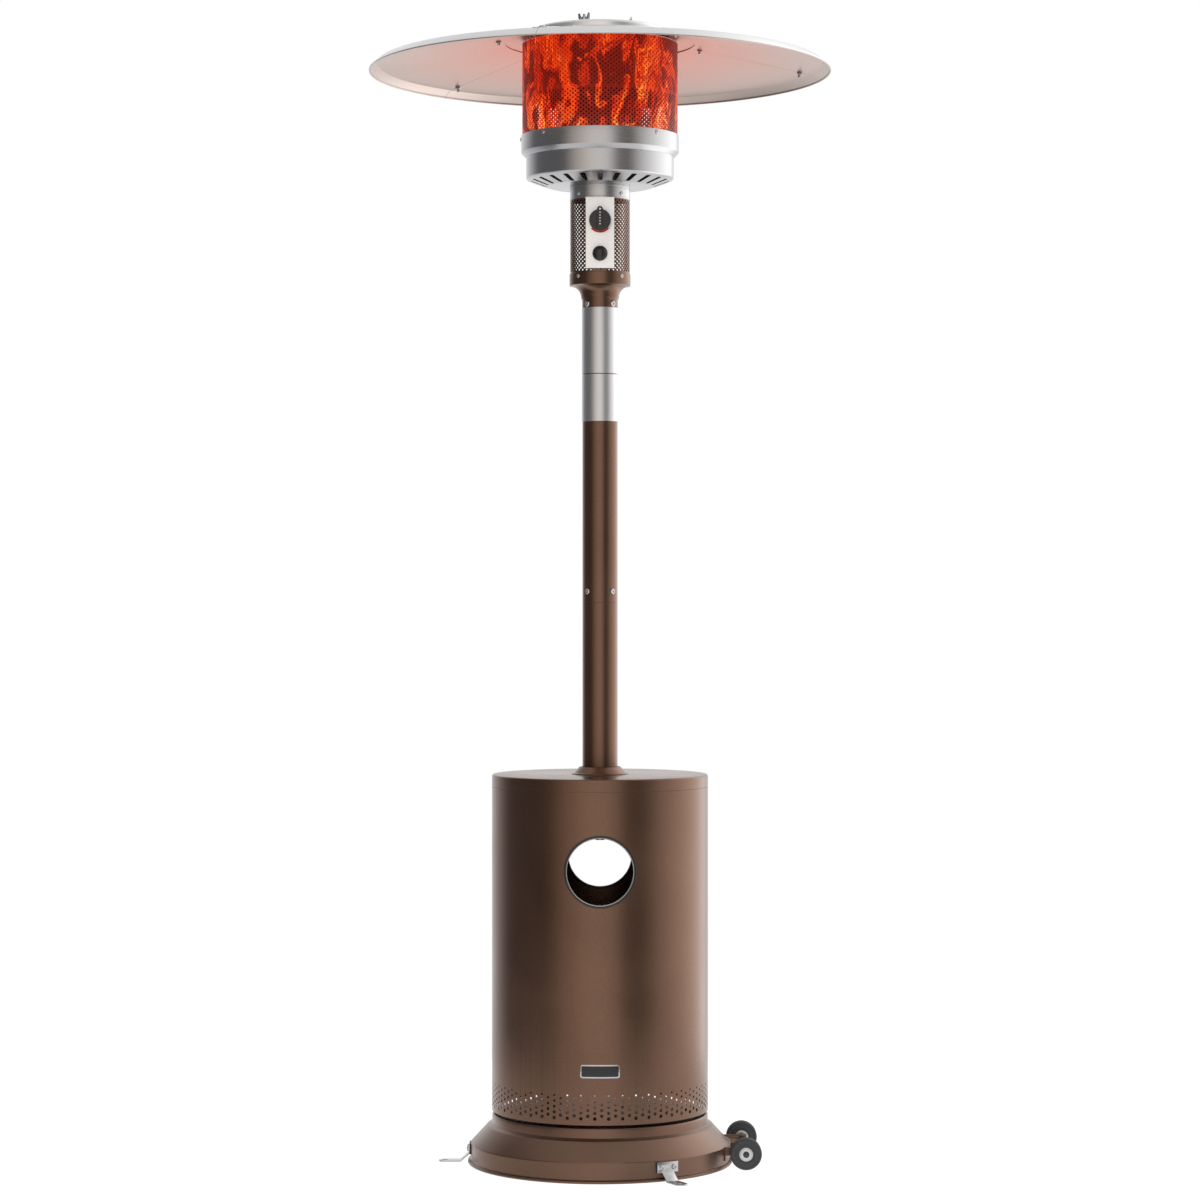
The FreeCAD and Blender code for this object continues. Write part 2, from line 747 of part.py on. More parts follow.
def igniter():
    shank_start = S.button_back - S.button_shank
    side_end = S.button_shank + S.button_side
    dome_top = side_end + S.button_dome
    dome_round = (S.button_radius * S.button_radius + S.button_dome * S.button_dome) / (S.button_dome * 2)
    button = turned("igniter_button", [
        (0, 0), (S.button_shank_radius, 0), (S.button_shank_radius, S.button_shank),
        (S.button_radius, S.button_shank), (S.button_radius, side_end), (0, dome_top, dome_round)])
    seat(button, (0, -shank_start, S.button_height), FreeCAD.Rotation(UP, FRONTWARD))
    keep(button)
    case = cylinder("igniter_unit_case", S.button_radius, S.igniter_length,
                    (0, -S.igniter_front + S.igniter_length, S.button_height), FRONTWARD)
    bore = cylinder("igniter_unit_bore", S.button_shank_radius + S.running_gap, 14,
                    (0, -S.igniter_front + 12, S.button_height), FRONTWARD)
    keep(cut("igniter_unit", case, bore))
    keep(box("tilt_switch", (-9, 30, S.cup_top + 12), (9, 49.9, S.cup_top + 39)))


def gas_line():
    keep(cylinder("gas_supply_tube", S.supply_radius, S.valve_bottom - S.union_bottom - 4,
                  (0, 0, S.union_bottom + 4)))
    nut = cylinder("gas_inlet_nut", S.union_radius, S.socket_bottom - S.union_bottom, (0, 0, S.union_bottom))
    nipple = cylinder("gas_inlet_nipple", S.inlet_radius, S.inlet_length + 2,
                      (0, 0, S.union_bottom - S.inlet_length))
    way = cylinder("gas_inlet_way", S.supply_radius, 60, (0, 0, S.union_bottom + 4))
    drill = cylinder("gas_inlet_drill", S.supply_radius - 2, 60, (0, 0, S.union_bottom - 30))
    tools = fuse("gas_inlet_tools", way, drill)
    keep(cut("gas_inlet_union", fuse("gas_inlet_blank", nut, nipple), tools))


# ---------------------------------------------------------------- burner and emitter


def burner():
    keep(tube("neck_collar", S.collar_neck_radius, S.guard_radius + S.fit_gap,
              S.collar_neck_bottom, S.bowl_bottom))
    wall = S.bowl_sheet
    keep(turned("burner_bowl", [
        (S.bowl_hole_radius, S.bowl_bottom), (S.bowl_floor_radius, S.bowl_bottom),
        (S.bowl_radius, S.bowl_wall_bottom), (S.bowl_radius, S.bowl_top), (S.bowl_radius - wall, S.bowl_top),
        (S.bowl_radius - wall, S.bowl_wall_bottom + wall), (S.bowl_floor_radius, S.bowl_bottom + wall),
        (S.bowl_hole_radius, S.bowl_bottom + wall)]))
    flange = S.bowl_radius - 3
    keep(turned("burner_collar", [
        (flange, S.bowl_top), (S.bowl_radius + 0.5, S.bowl_top), (S.collar_radius, S.collar_bevel_top),
        (S.collar_radius, S.collar_top), (S.collar_radius - wall, S.collar_top),
        (S.collar_radius - wall, S.collar_bevel_top + wall / 2), (S.bowl_radius, S.bowl_top + wall),
        (flange, S.bowl_top + wall)]))
    seat_height = S.bowl_top + wall
    reach = S.bowl_radius - 1.5
    bar = box("burner_bridge_bar", (-reach, -S.bridge_width / 2, seat_height),
              (reach, S.bridge_width / 2, seat_height + S.bridge_sheet))
    passage = cylinder("burner_bridge_hole", S.burner_tube_radius + 0.2, 20, (0, 0, seat_height - 8))
    pad = cylinder("burner_bridge_pad", S.burner_tube_radius + 10, S.bridge_sheet, (0, 0, seat_height))
    keep(cut("burner_bridge", fuse("burner_bridge_blank", bar, pad), passage))
    bridge_top = seat_height + S.bridge_sheet
    tube_wall = 2
    keep(turned("gas_burner", [
        (S.burner_tube_radius - tube_wall, S.burner_tube_bottom), (S.burner_tube_radius, S.burner_tube_bottom),
        (S.burner_tube_radius, bridge_top), (S.burner_tube_radius + 6, bridge_top),
        (S.burner_tube_radius + 6, bridge_top + 3), (S.burner_tube_radius, bridge_top + 3),
        (S.burner_tube_radius, S.burner_head_bottom), (S.burner_head_radius, S.burner_head_bottom),
        (S.burner_head_radius, S.burner_head_top), (0, S.burner_head_top),
        (0, S.burner_head_top - tube_wall), (S.burner_head_radius - tube_wall, S.burner_head_top - tube_wall),
        (S.burner_head_radius - tube_wall, S.burner_head_bottom + tube_wall),
        (S.burner_tube_radius - tube_wall, S.burner_head_bottom + tube_wall)]))
    edge = S.burner_head_radius
    bracket = box("pilot_bracket", (edge + 0.1, -9, S.burner_head_bottom), (edge + 2, 9, S.burner_head_top + 2))
    shelf = box("pilot_shelf", (edge + 0.1, -9, S.burner_head_bottom), (edge + 14, 9, S.burner_head_bottom + 2))
    nozzle = cylinder("pilot_nozzle", 4, 26, (edge + 8, -4.5, S.burner_head_bottom))
    probe = cylinder("pilot_probe", 2, 30, (edge + 8, 4.5, S.burner_head_bottom))
    keep(fuse("pilot_assembly", bracket, shelf, nozzle, probe))


def emitter():
    keep(tube("emitter_screen", S.screen_radius, S.screen_radius - S.screen_sheet,
              S.screen_bottom, S.screen_top))
    keep(tube("inner_screen", S.inner_screen_radius, S.inner_screen_radius - S.screen_sheet,
              S.inner_screen_bottom, S.screen_top))
    keep(cylinder("emitter_cap", S.screen_radius, S.bowl_sheet, (0, 0, S.screen_top)))


# ---------------------------------------------------------------- reflector


def slope_height(radius):
    """Height of the panels' upper surface at a radius inside the crease."""
    return S.crease_height + (S.crease_radius - radius) * S.reflector_slope


def reflector_panel(number, azimuth):
    """A third of the reflector: a cone from the disc to the crease, then a turned-down lip."""
    thin = S.disc_sheet
    hem = 2.5
    inner = S.panel_inner_radius
    rim = S.reflector_radius
    bottom = S.reflector_lip_bottom
    panel = turned(f"reflector_panel_{number}", [
        (inner, slope_height(inner) - thin), (S.crease_radius - thin / 2, S.crease_height - thin),
        (rim - hem, bottom + hem), (rim - hem, bottom), (rim, bottom), (rim, bottom + 2),
        (S.crease_radius, S.crease_height), (inner, slope_height(inner))], angle=119.95)
    panel.Placement = spun(azimuth)
    keep(panel)


def reflector_disc():
    """Centre disc on top of the panels, raised to a low crown with a flat top for the posts."""
    lift = 0.1
    thin = S.disc_sheet
    rim = S.disc_radius
    inner = S.panel_inner_radius
    wall = S.dome_radius - thin
    edge = S.dome_top - S.dome_slope_drop
    keep(turned("reflector_disc", [
        (0, S.dome_top - thin), (S.dome_flat_radius, S.dome_top - thin), (wall - S.dome_round, edge - thin),
        (wall, edge - S.dome_round - thin, -S.dome_round), (wall, S.dome_foot),
        (inner, slope_height(inner) + lift + 0.5),
        (rim, slope_height(rim) + lift), (rim, slope_height(rim) + lift + thin),
        (inner, slope_height(inner) + lift + thin + 0.5),
        (S.dome_radius, S.dome_foot + thin), (S.dome_radius, edge - S.dome_round - thin),
        (wall - S.dome_round, edge, S.dome_round + thin), (S.dome_flat_radius, S.dome_top), (0, S.dome_top)]))


def reflector_fasteners():
    tilt = math.degrees(math.atan(S.reflector_slope.value))
    lean = FreeCAD.Rotation(ACROSS, tilt)
    start = S.disc_radius + 3
    length = (S.crease_radius - start - 5) / math.cos(math.radians(tilt))
    half = S.strap_width / 2
    strap_sheet = 1

    def strap(name):
        low = (start, -half, slope_height(start) + 0.1)
        high = (start + length, half, slope_height(start) + 0.1 + strap_sheet)
        return group(name, [box(name + "_bar", low, high, lean)])

    keep(group("seam_straps", around(SEAMS, strap, "seam_strap")))

    def seam_bolt(name):
        surface = slope_height(S.seam_bolt_circle) + 0.1 + strap_sheet
        return upright_bolt(name, S.seam_bolt_circle, surface, 5, 2.6, 2.5, 12, tilt, (4.5, 3.5, 6))

    def disc_bolt(name):
        surface = slope_height(S.disc_bolt_circle) + 0.4 + S.disc_sheet
        return upright_bolt(name, S.disc_bolt_circle, surface, 5, 2.6, 2.5, 10, tilt, (4.5, 3, 5.4))

    bolts = around(SEAMS, seam_bolt, "seam_bolt")
    bolts += around([azimuth + turn for azimuth in SEAMS for turn in (0, 60)], disc_bolt, "disc_bolt")
    keep(group("reflector_bolts", bolts))


def reflector_posts():
    foot = S.screen_top + S.bowl_sheet
    under = S.dome_top - S.disc_sheet

    def post(name):
        stud = cylinder(name + "_stud", S.post_radius, S.post_top - foot, (S.post_circle, 0, foot))
        spacer = cylinder(name + "_spacer", S.post_radius + 2.5, under - foot, (S.post_circle, 0, foot))
        return fuse(name, stud, spacer)

    def wing_nut(name):
        base = S.dome_top
        boss = cylinder(name + "_boss", 6, 9, (S.post_circle, 0, base))
        wings = [box(f"{name}_wing_{side}", (S.post_circle - 1.25, 7.5 * side - 5, base + 4),
                     (S.post_circle + 1.25, 7.5 * side + 5, base + 16)) for side in (-1, 1)]
        core = cylinder(name + "_core", S.post_radius, 20, (S.post_circle, 0, base - 2))
        return cut(name, fuse(name + "_blank", boss, *wings), core)

    keep(group("reflector_posts", around(THIRDS, post, "reflector_post")))
    keep(group("wing_nuts", around(THIRDS, wing_nut, "wing_nut")))


# ---------------------------------------------------------------- tank housing and table


def housing_shell():
    wall = tube("housing_shell_wall", S.shell_radius, S.shell_radius - S.shell_sheet,
                S.shell_bottom, S.shell_top)
    hole = cylinder("housing_shell_hole", S.hole_rim_radius + 0.05, S.shell_radius * 2 + 20,
                    (0, -S.shell_radius - 10, S.hole_height), ACROSS)
    keep(cut("housing_shell", wall, hole))


def hand_hole_rims():
    """Two grommets that follow the round wall, one in front and one behind."""
    outer = S.shell_radius + S.rim_thickness / 3
    sleeve = tube("hand_hole_rims_sleeve", outer, outer - S.rim_thickness,
                  S.hole_height - S.hole_rim_radius - 10, S.hole_height + S.hole_rim_radius + 10)
    reach = S.shell_radius + 10
    length = reach * 2
    start = (0, -reach, S.hole_height)
    plug = cylinder("hand_hole_rims_plug", S.hole_rim_radius, length, start, ACROSS)
    clear = cylinder("hand_hole_rims_clear", S.hole_clear_radius, length, start, ACROSS)
    keep(common("hand_hole_rims", sleeve, cut("hand_hole_rims_pipe", plug, clear)))


def name_plate():
    """A blank plate with rounded corners that follows the round wall."""
    low = -S.shell_radius - 5
    high = -S.shell_radius + 10
    half_width = S.plate_width / 2
    half_height = S.plate_height / 2
    corner = S.plate_round
    wide = box("name_plate_wide", (-half_width, low, S.plate_centre - half_height + corner),
               (half_width, high, S.plate_centre + half_height - corner))
    tall = box("name_plate_tall", (-half_width + corner, low, S.plate_centre - half_height),
               (half_width - corner, high, S.plate_centre + half_height))
    rounds = []
    for side in (-1, 1):
        for level in (-1, 1):
            base = ((half_width - corner) * side, low, S.plate_centre + (half_height - corner) * level)
            rounds.append(cylinder(f"name_plate_round_{side}_{level}", corner, high - low, base, ACROSS))
    blank = fuse("name_plate_blank", wide, tall, *rounds)
    skin = tube("name_plate_skin", S.shell_radius + S.plate_sheet, S.shell_radius,
                S.plate_centre - S.plate_height, S.plate_centre + S.plate_height)
    keep(common("name_plate", skin, blank))


def table():
    inner = S.shell_radius - S.shell_sheet - S.fit_gap
    lid_inner = inner - S.table_sheet
    under = S.table_top_height - S.table_sheet
    edge = S.shell_radius - S.table_round
    bore = S.table_collar_bore
    keep(turned("table_top", [
        (bore, under), (lid_inner, under), (lid_inner, S.table_skirt_bottom), (inner, S.table_skirt_bottom),
        (inner, S.shell_top), (S.shell_radius, S.shell_top),
        (S.shell_radius, S.table_top_height - S.table_round),
        (edge, S.table_top_height, S.table_round), (bore, S.table_top_height)]))
    keep(turned("table_collar", [
        (bore, S.table_top_height), (S.table_collar_foot, S.table_top_height),
        (S.table_collar_foot, S.table_top_height + 1.5), (bore + 1.2, S.table_collar_top),
        (bore, S.table_collar_top)]))


# ---------------------------------------------------------------- assembly


def build():
    base_pan()
    base_weight()
    for side, azimuth in ANCHORS.items():
        anchor_bracket(side, azimuth)
    anchor_pads()
    anchor_bolts()
    wheel_bracket()
    axle()
    wheel("front", -S.wheel_centre)
    wheel("back", S.wheel_centre)
    for number, azimuth in enumerate(THIRDS, start=1):
        support_leg(number, azimuth)
    pole_socket()
    base_bolts()
    pole()
    head_cup()
    head_screws()
    control_guard()
    control_panel()
    valve()
    control_knob()
    igniter()
    gas_line()
    burner()
    emitter()
    for number, azimuth in enumerate(SEAMS, start=1):
        reflector_panel(number, azimuth + 60)
    reflector_disc()
    reflector_fasteners()
    reflector_posts()
    housing_shell()
    hand_hole_rims()
    name_plate()
    table()


def check():
    """Stops if any object failed or any sub-part has no sound shape."""
    for thing in doc.Objects:
        if "Invalid" in thing.State or "Error" in thing.State:
            raise RuntimeError(f"{thing.Label} failed: {thing.State}")
    for part in parts:
        if part.Shape.isNull() or not part.Shape.isValid() or not part.Shape.Solids:
            raise RuntimeError(f"{part.Label} has no valid solid")


build()
doc.recompute()
check()
os.makedirs("parts", exist_ok=True)
for part in parts:
    part.Shape.exportStep(f"parts/{part.Label}.step")
print(len(parts), "parts written")
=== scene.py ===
import math

import bmesh
import bpy
from mathutils import Matrix, Vector


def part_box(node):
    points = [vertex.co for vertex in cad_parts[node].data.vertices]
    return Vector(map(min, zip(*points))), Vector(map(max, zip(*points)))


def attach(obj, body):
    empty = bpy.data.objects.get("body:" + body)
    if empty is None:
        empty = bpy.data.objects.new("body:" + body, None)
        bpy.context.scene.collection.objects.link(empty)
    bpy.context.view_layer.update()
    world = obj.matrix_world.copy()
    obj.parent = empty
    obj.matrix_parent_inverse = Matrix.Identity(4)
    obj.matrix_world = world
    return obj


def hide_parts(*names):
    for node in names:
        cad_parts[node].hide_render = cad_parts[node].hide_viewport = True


bl_info = {
    "name": "Patio Heater Builder",
    "version": (1, 0, 0),
    "blender": (4, 5, 0),
    "location": "View3D > Sidebar > Heater",
    "description": "Dresses the packed frame of a gas patio heater: sheet metal, meshes, controls and stage",
    "category": "Object",
}

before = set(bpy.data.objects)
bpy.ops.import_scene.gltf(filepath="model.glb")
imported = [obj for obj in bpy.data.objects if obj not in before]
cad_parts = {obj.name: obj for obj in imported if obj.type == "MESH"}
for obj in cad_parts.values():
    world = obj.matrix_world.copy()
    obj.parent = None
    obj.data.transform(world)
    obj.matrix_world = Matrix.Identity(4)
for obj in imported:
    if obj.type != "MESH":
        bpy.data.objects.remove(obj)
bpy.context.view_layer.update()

STAND = "stand"
HOUSING = "tank_housing"
MM = 0.001
ROUND = 160
QUARTER_TURN = math.pi / 2
FRONT = -math.pi / 2
SEAMS = tuple(math.radians(angle) for angle in (15, 135, 255))
SEAM_GAP = math.radians(0.12)
SLEEVE_RIBS = 0.0021
# Bearing from the camera's side towards +X, and colour.
STUDIO = (
    (-180, (0.44, 0.44, 0.44)), (-158, (0.44, 0.44, 0.45)), (-134, (0.30, 0.30, 0.31)),
    (-114, (0.08, 0.08, 0.085)), (-56, (0.07, 0.068, 0.066)), (-40, (0.28, 0.25, 0.22)),
    (-12, (0.50, 0.465, 0.43)), (12, (0.48, 0.465, 0.45)), (28, (0.12, 0.11, 0.105)),
    (46, (0.08, 0.075, 0.07)), (64, (0.36, 0.35, 0.335)), (108, (0.84, 0.83, 0.82)),
    (140, (1.0, 1.0, 1.0)), (162, (0.44, 0.44, 0.44)), (180, (0.44, 0.44, 0.44)))
ANCHORS = {"left": math.pi, "front": -math.pi / 3, "back": math.pi / 3}


# ---------------------------------------------------------------- nodes as expressions


class Wire:
    """An output socket that takes part in arithmetic and adds its Math nodes as it goes."""

    def __init__(self, nodes, socket):
        self.nodes = nodes
        self.socket = socket

    def math(self, operation, *values):
        inputs = {index: value for index, value in enumerate((self,) + values)}
        return self.nodes.add("ShaderNodeMath", {"operation": operation}, inputs)[0]

    def reflected(self, operation, value):
        return self.nodes.add("ShaderNodeMath", {"operation": operation}, {0: value, 1: self})[0]


PLAIN_OPERATORS = {"__add__": "ADD", "__radd__": "ADD", "__sub__": "SUBTRACT", "__mul__": "MULTIPLY",
                   "__rmul__": "MULTIPLY", "__truediv__": "DIVIDE", "__gt__": "GREATER_THAN",
                   "__lt__": "LESS_THAN", "__pow__": "POWER", "__mod__": "MODULO"}
REFLECTED_OPERATORS = {"__rsub__": "SUBTRACT", "__rtruediv__": "DIVIDE"}


def give_operators(kind, table, method):
    """Binds each operator of the table to one Math operation."""
    for name, operation in table.items():
        setattr(kind, name, lambda wire, other, operation=operation: getattr(wire, method)(operation, other))


give_operators(Wire, PLAIN_OPERATORS, "math")
give_operators(Wire, REFLECTED_OPERATORS, "reflected")


class Nodes:
    """Adds nodes to one tree. Settings are set first, then the values or links of the sockets."""

    def __init__(self, tree):
        self.tree = tree

    def add(self, kind, settings=None, inputs=None):
        """Returns the node's outputs as wires: by number here, by name through pick."""
        node = self.tree.nodes.new(kind)
        for name, value in (settings or {}).items():
            if name == "stops":
                self.set_stops(node.color_ramp, value)
            else:
                setattr(node, name, value)
        for key, value in (inputs or {}).items():
            if isinstance(value, Wire):
                self.tree.links.new(value.socket, node.inputs[key])
            else:
                node.inputs[key].default_value = value
        self.last = node
        return [Wire(self, socket) for socket in node.outputs]

    def pick(self, name):
        """A named output of the node that was added last."""
        return Wire(self, self.last.outputs[name])

    @staticmethod
    def set_stops(ramp, stops):
        while len(ramp.elements) < len(stops):
            ramp.elements.new(1.0)
        for element, (place, colour) in zip(ramp.elements, stops):
            element.position = place
            element.color = tuple(colour) + (1.0,) if len(colour) == 3 else colour

    def vector(self, operation, *values, scale=None):
        inputs = {index: value for index, value in enumerate(values)}
        if scale is not None:
            inputs["Scale"] = scale
        return self.add("ShaderNodeVectorMath", {"operation": operation}, inputs)[0]

    def combine(self, x, y, z):
        return self.add("ShaderNodeCombineXYZ", None, {"X": x, "Y": y, "Z": z})[0]

    def noise(self, vector, scale, detail=2.0, roughness=0.5, distortion=0.0):
        inputs = {"Vector": vector, "Scale": scale, "Detail": detail, "Roughness": roughness,
                  "Distortion": distortion}
        return self.add("ShaderNodeTexNoise", None, inputs)[0]

    def ramp(self, value, stops):
        return self.add("ShaderNodeValToRGB", {"stops": stops}, {"Fac": value})[0]

    def mix(self, factor, first, second):
        """A colour between two colours."""
        self.add("ShaderNodeMix", {"data_type": "RGBA", "clamp_factor": True}, {0: factor, 6: first, 7: second})
        return Wire(self, self.last.outputs[2])

    def map_range(self, value, low, high, new_low, new_high):
        inputs = {0: value, 1: low, 2: high, 3: new_low, 4: new_high}
        return self.add("ShaderNodeMapRange", {"clamp": True}, inputs)[0]

    def bump(self, height, strength, distance):
        return self.add("ShaderNodeBump", None, {"Height": height, "Strength": strength,
                                                 "Distance": distance})[0]


class Finish(Nodes):
    """A material under construction, with its object coordinates ready to use."""

    def __init__(self, name):
        self.material = bpy.data.materials.new(name)
        self.material.use_nodes = True
        super().__init__(self.material.node_tree)
        self.tree.nodes.clear()
        self.add("ShaderNodeTexCoord")
        self.place = self.pick("Object")
        self.facing = self.pick("Normal")
        self.add("ShaderNodeSeparateXYZ", None, {"Vector": self.place})
        self.x = self.pick("X")
        self.y = self.pick("Y")
        self.z = self.pick("Z")

    def radius(self):
        return (self.x * self.x + self.y * self.y) ** 0.5

    def azimuth(self):
        return self.y.math("ARCTAN2", self.x)

    def surface(self, **sockets):
        """The one principled shader of the material."""
        inputs = {name.replace("_", " ").title(): value for name, value in sockets.items()}
        shader = self.add("ShaderNodeBsdfPrincipled", None, inputs)[0]
        self.add("ShaderNodeOutputMaterial", None, {"Surface": shader})
        return self.material


# ---------------------------------------------------------------- finishes


def shade(colour, factor):
    return tuple(channel * factor for channel in colour[:3]) + (1.0,)


def bronze_paint(settings):
    """Metallic powder coat: fine flakes, a slight orange peel and a thin film of dust low down."""
    f = Finish("bronze_paint")
    colour = settings.bronze
    flakes = f.noise(f.place, 900.0, 1.0)
    clouds = f.noise(f.place, 6.0, 3.0)
    tone = f.map_range(flakes * 0.6 + clouds * 0.4, 0.3, 0.7, 0.0, 1.0)
    base = f.mix(tone, shade(colour, 0.78), shade(colour, 1.2))
    dust = f.map_range(f.z, 0.0, 0.12, 0.12, 0.0) * f.map_range(clouds, 0.45, 0.75, 0.2, 1.0)
    base = f.mix(dust, base, (0.30, 0.27, 0.24, 1.0))
    roughness = f.map_range(clouds, 0.3, 0.7, settings.bronze_roughness, settings.bronze_roughness + 0.07)
    peel = f.noise(f.place, 260.0, 2.0)
    return f.surface(base_color=base, metallic=0.95, roughness=roughness + dust * 1.5, coat_weight=0.08,
                     coat_roughness=0.22, normal=f.bump(peel, 0.03, 0.001))


def brushed_steel(name, colour, roughness, pitch=2200.0, ribs=0.0):
    """Steel brushed round the axis: fine lines that follow the turn, and an optional ribbing."""
    f = Finish(name)
    lines = f.combine(f.radius() * pitch, f.z * pitch, f.azimuth() * 3.0)
    grain = f.noise(lines, 1.0, 3.0, 0.6)
    clouds = f.noise(f.place, 9.0, 2.0)
    base = f.mix(grain, shade(colour, 0.86), shade(colour, 1.1))
    base = f.mix(clouds * 0.2, base, shade(colour, 0.75))
    height = grain
    if ribs:
        height = height * 0.4 + (f.z * (math.tau / ribs)).math("SINE") * 0.6
    rough = f.map_range(grain, 0.25, 0.75, roughness - 0.05, roughness + 0.07)
    return f.surface(base_color=base, metallic=1.0, roughness=rough, normal=f.bump(height, 0.10, 0.0003))


def reflector_metal(settings):
    """Rolled aluminium, satin below. Its colour is painted lighter on faces turned up and darker on faces
    turned down (painted shade), and red near the burner where the flames' glow is painted in (painted
    reflection).
    """
    f = Finish("reflector_aluminium")
    grain = f.noise(f.combine(f.x * 30.0, f.y * 900.0, f.z * 30.0), 1.0, 2.0)
    clouds = f.noise(f.place, 5.0, 3.0)
    tone = grain * 0.5 + clouds * 0.5
    f.add("ShaderNodeSeparateXYZ", None, {"Vector": f.facing})
    # Painted shade: faces turned down (under) get the darker colour below, and faces turned up get the lighter
    # colour top.
    under = f.map_range(f.pick("Z"), 0.1, -0.1, 0.0, 1.0)
    top = f.mix(tone, (0.58, 0.58, 0.585, 1.0), (0.74, 0.74, 0.745, 1.0))
    below = f.mix(tone, (0.43, 0.385, 0.35, 1.0), (0.52, 0.47, 0.43, 1.0))
    # Painted reflection: the flames' red glow is painted into the underside's colour, strongest near the
    # burner.
    reach = f.map_range(f.radius(), 0.18, 0.41, 1.0, 0.05) * settings.painted_glow_tint
    below = f.mix(reach, below, (0.72, 0.27, 0.20, 1.0))
    rough = f.map_range(clouds, 0.3, 0.7, 0.24, 0.32) + under * 0.1
    return f.surface(base_color=f.mix(under, top, below), metallic=0.7 + under * 0.25, roughness=rough,
                     normal=f.bump(grain, 0.06, 0.0005))


def plain_metal(name, colour, roughness, bump=0.05):
    """Plated or machined metal with small variations in tone and polish."""
    f = Finish(name)
    spots = f.noise(f.place, 180.0, 3.0)
    scratches = f.noise(f.combine(f.x * 900.0, f.y * 120.0, f.z * 900.0), 1.0, 2.0)
    base = f.mix(spots, shade(colour, 0.8), shade(colour, 1.1))
    rough = f.map_range(spots * 0.5 + scratches * 0.5, 0.3, 0.7, roughness - 0.05, roughness + 0.1)
    return f.surface(base_color=base, metallic=1.0, roughness=rough, normal=f.bump(scratches, bump, 0.0004))


def moulded(name, colour, roughness, grain=900.0, strength=0.06, coat=0.0):
    """Moulded plastic, rubber or paint: a fine skin texture and slight unevenness of tone."""
    f = Finish(name)
    skin = f.noise(f.place, grain, 2.0)
    clouds = f.noise(f.place, 25.0, 3.0)
    base = f.mix(clouds * 0.6 + skin * 0.4, shade(colour, 0.82), shade(colour, 1.18))
    rough = f.map_range(clouds, 0.3, 0.7, roughness - 0.04, roughness + 0.06)
    return f.surface(base_color=base, metallic=0.0, roughness=rough, coat_weight=coat, coat_roughness=0.1,
                     normal=f.bump(skin, strength, 0.0005))


def cast_iron():
    f = Finish("iron")
    grit = f.noise(f.place, 260.0, 5.0, 0.65)
    base = f.mix(grit, (0.035, 0.033, 0.032, 1.0), (0.12, 0.11, 0.10, 1.0))
    return f.surface(base_color=base, metallic=0.6, roughness=f.map_range(grit, 0.3, 0.7, 0.55, 0.8),
                     normal=f.bump(grit, 0.35, 0.002))


# Heat from 0 to 1, and colour.
FLAME = ((0.0, (0.12, 0.005, 0.002)), (0.25, (0.19, 0.007, 0.003)), (0.45, (0.50, 0.014, 0.003)),
         (0.62, (0.85, 0.055, 0.005)), (0.78, (1.0, 0.135, 0.012)), (0.90, (1.0, 0.32, 0.030)),
         (1.0, (1.0, 0.62, 0.12)))


def flame_colour(f):
    """Tongues of flame over the height of the emitter: threads that rise, fork and thin out."""
    low, high = span_of("inner_screen")
    angle = f.azimuth()
    across = angle.math("COSINE")
    along = angle.math("SINE")
    sway = f.noise(f.combine(across * 2.6, along * 2.6, f.z * 12.0), 1.0, 2.0, 0.5)
    drift = (sway - 0.5) * 4.5
    place = f.combine(across * 6.0 + drift, along * 6.0 + drift, f.z * 15.0 + drift)
    tongues = f.noise(place, 0.75, 2.0, 0.45, 0.6)
    wisps = f.noise(place, 1.7, 3.0, 0.5, 0.8)
    ridge = (1.0 - (tongues - 0.5).math("ABSOLUTE") * 24.0).math("MAXIMUM", 0.0)
    edge = (1.0 - (tongues - 0.6).math("ABSOLUTE") * 24.0).math("MAXIMUM", 0.0)
    thread = (1.0 - (wisps - 0.5).math("ABSOLUTE") * 20.0).math("MAXIMUM", 0.0)
    body = f.map_range(tongues, 0.38, 0.64, 0.12, 0.58)
    rise = f.map_range(f.z, low - 0.07, high, 1.10, 0.80)
    bright = f.map_range(sway, 0.42, 0.58, 0.40, 1.0)
    heat = (body + (ridge * 0.40 + edge * 0.34 + thread * 0.26) * bright) * rise
    return f.ramp(heat, FLAME)


def outer_glow(f, node, colour):
    """The colour on the outer face of a round screen, and black inside it."""
    return f.mix(f.radius() > radius_of(node) - 0.3 * MM, (0.0, 0.0, 0.0, 1.0), colour)


def flame_wall(settings):
    """The hot inner screen, seen as flames."""
    f = Finish("flame_wall")
    return f.surface(base_color=(0.03, 0.008, 0.004, 1.0), metallic=0.0, roughness=0.8,
                     emission_color=outer_glow(f, "inner_screen", flame_colour(f)),
                     emission_strength=settings.flame_strength)


def hot_screen(settings):
    """Emitter screen, glowing with the flames behind it, paler and greyer near the burner."""
    f = Finish("hot_screen")
    low = span_of("emitter_screen")[0]
    hot = f.map_range(f.z, low, low + 0.05, 0.82, 1.0)
    grain = f.noise(f.place, 500.0, 2.0)
    steel = f.mix(grain, (0.30, 0.20, 0.15, 1.0), (0.42, 0.30, 0.24, 1.0))
    base = f.mix(hot, steel, (0.06, 0.015, 0.010, 1.0))
    glow = outer_glow(f, "emitter_screen", f.mix(hot, (0.10, 0.02, 0.006, 1.0), flame_colour(f)))
    return f.surface(base_color=base, metallic=0.85, roughness=f.map_range(grain, 0.3, 0.7, 0.45, 0.6),
                     emission_color=glow, emission_strength=settings.screen_strength)


FINISHES = {}


def finish(name):
    """Each finish is made once, when a piece first asks for it."""
    if name not in FINISHES:
        settings = bpy.context.scene.heater_finishes
        if name in METALS:
            FINISHES[name] = plain_metal(name, *METALS[name])
        elif name in MOULDINGS:
            FINISHES[name] = moulded(name, *MOULDINGS[name])
        else:
            FINISHES[name] = SPECIAL_FINISHES[name](settings)
    return FINISHES[name]


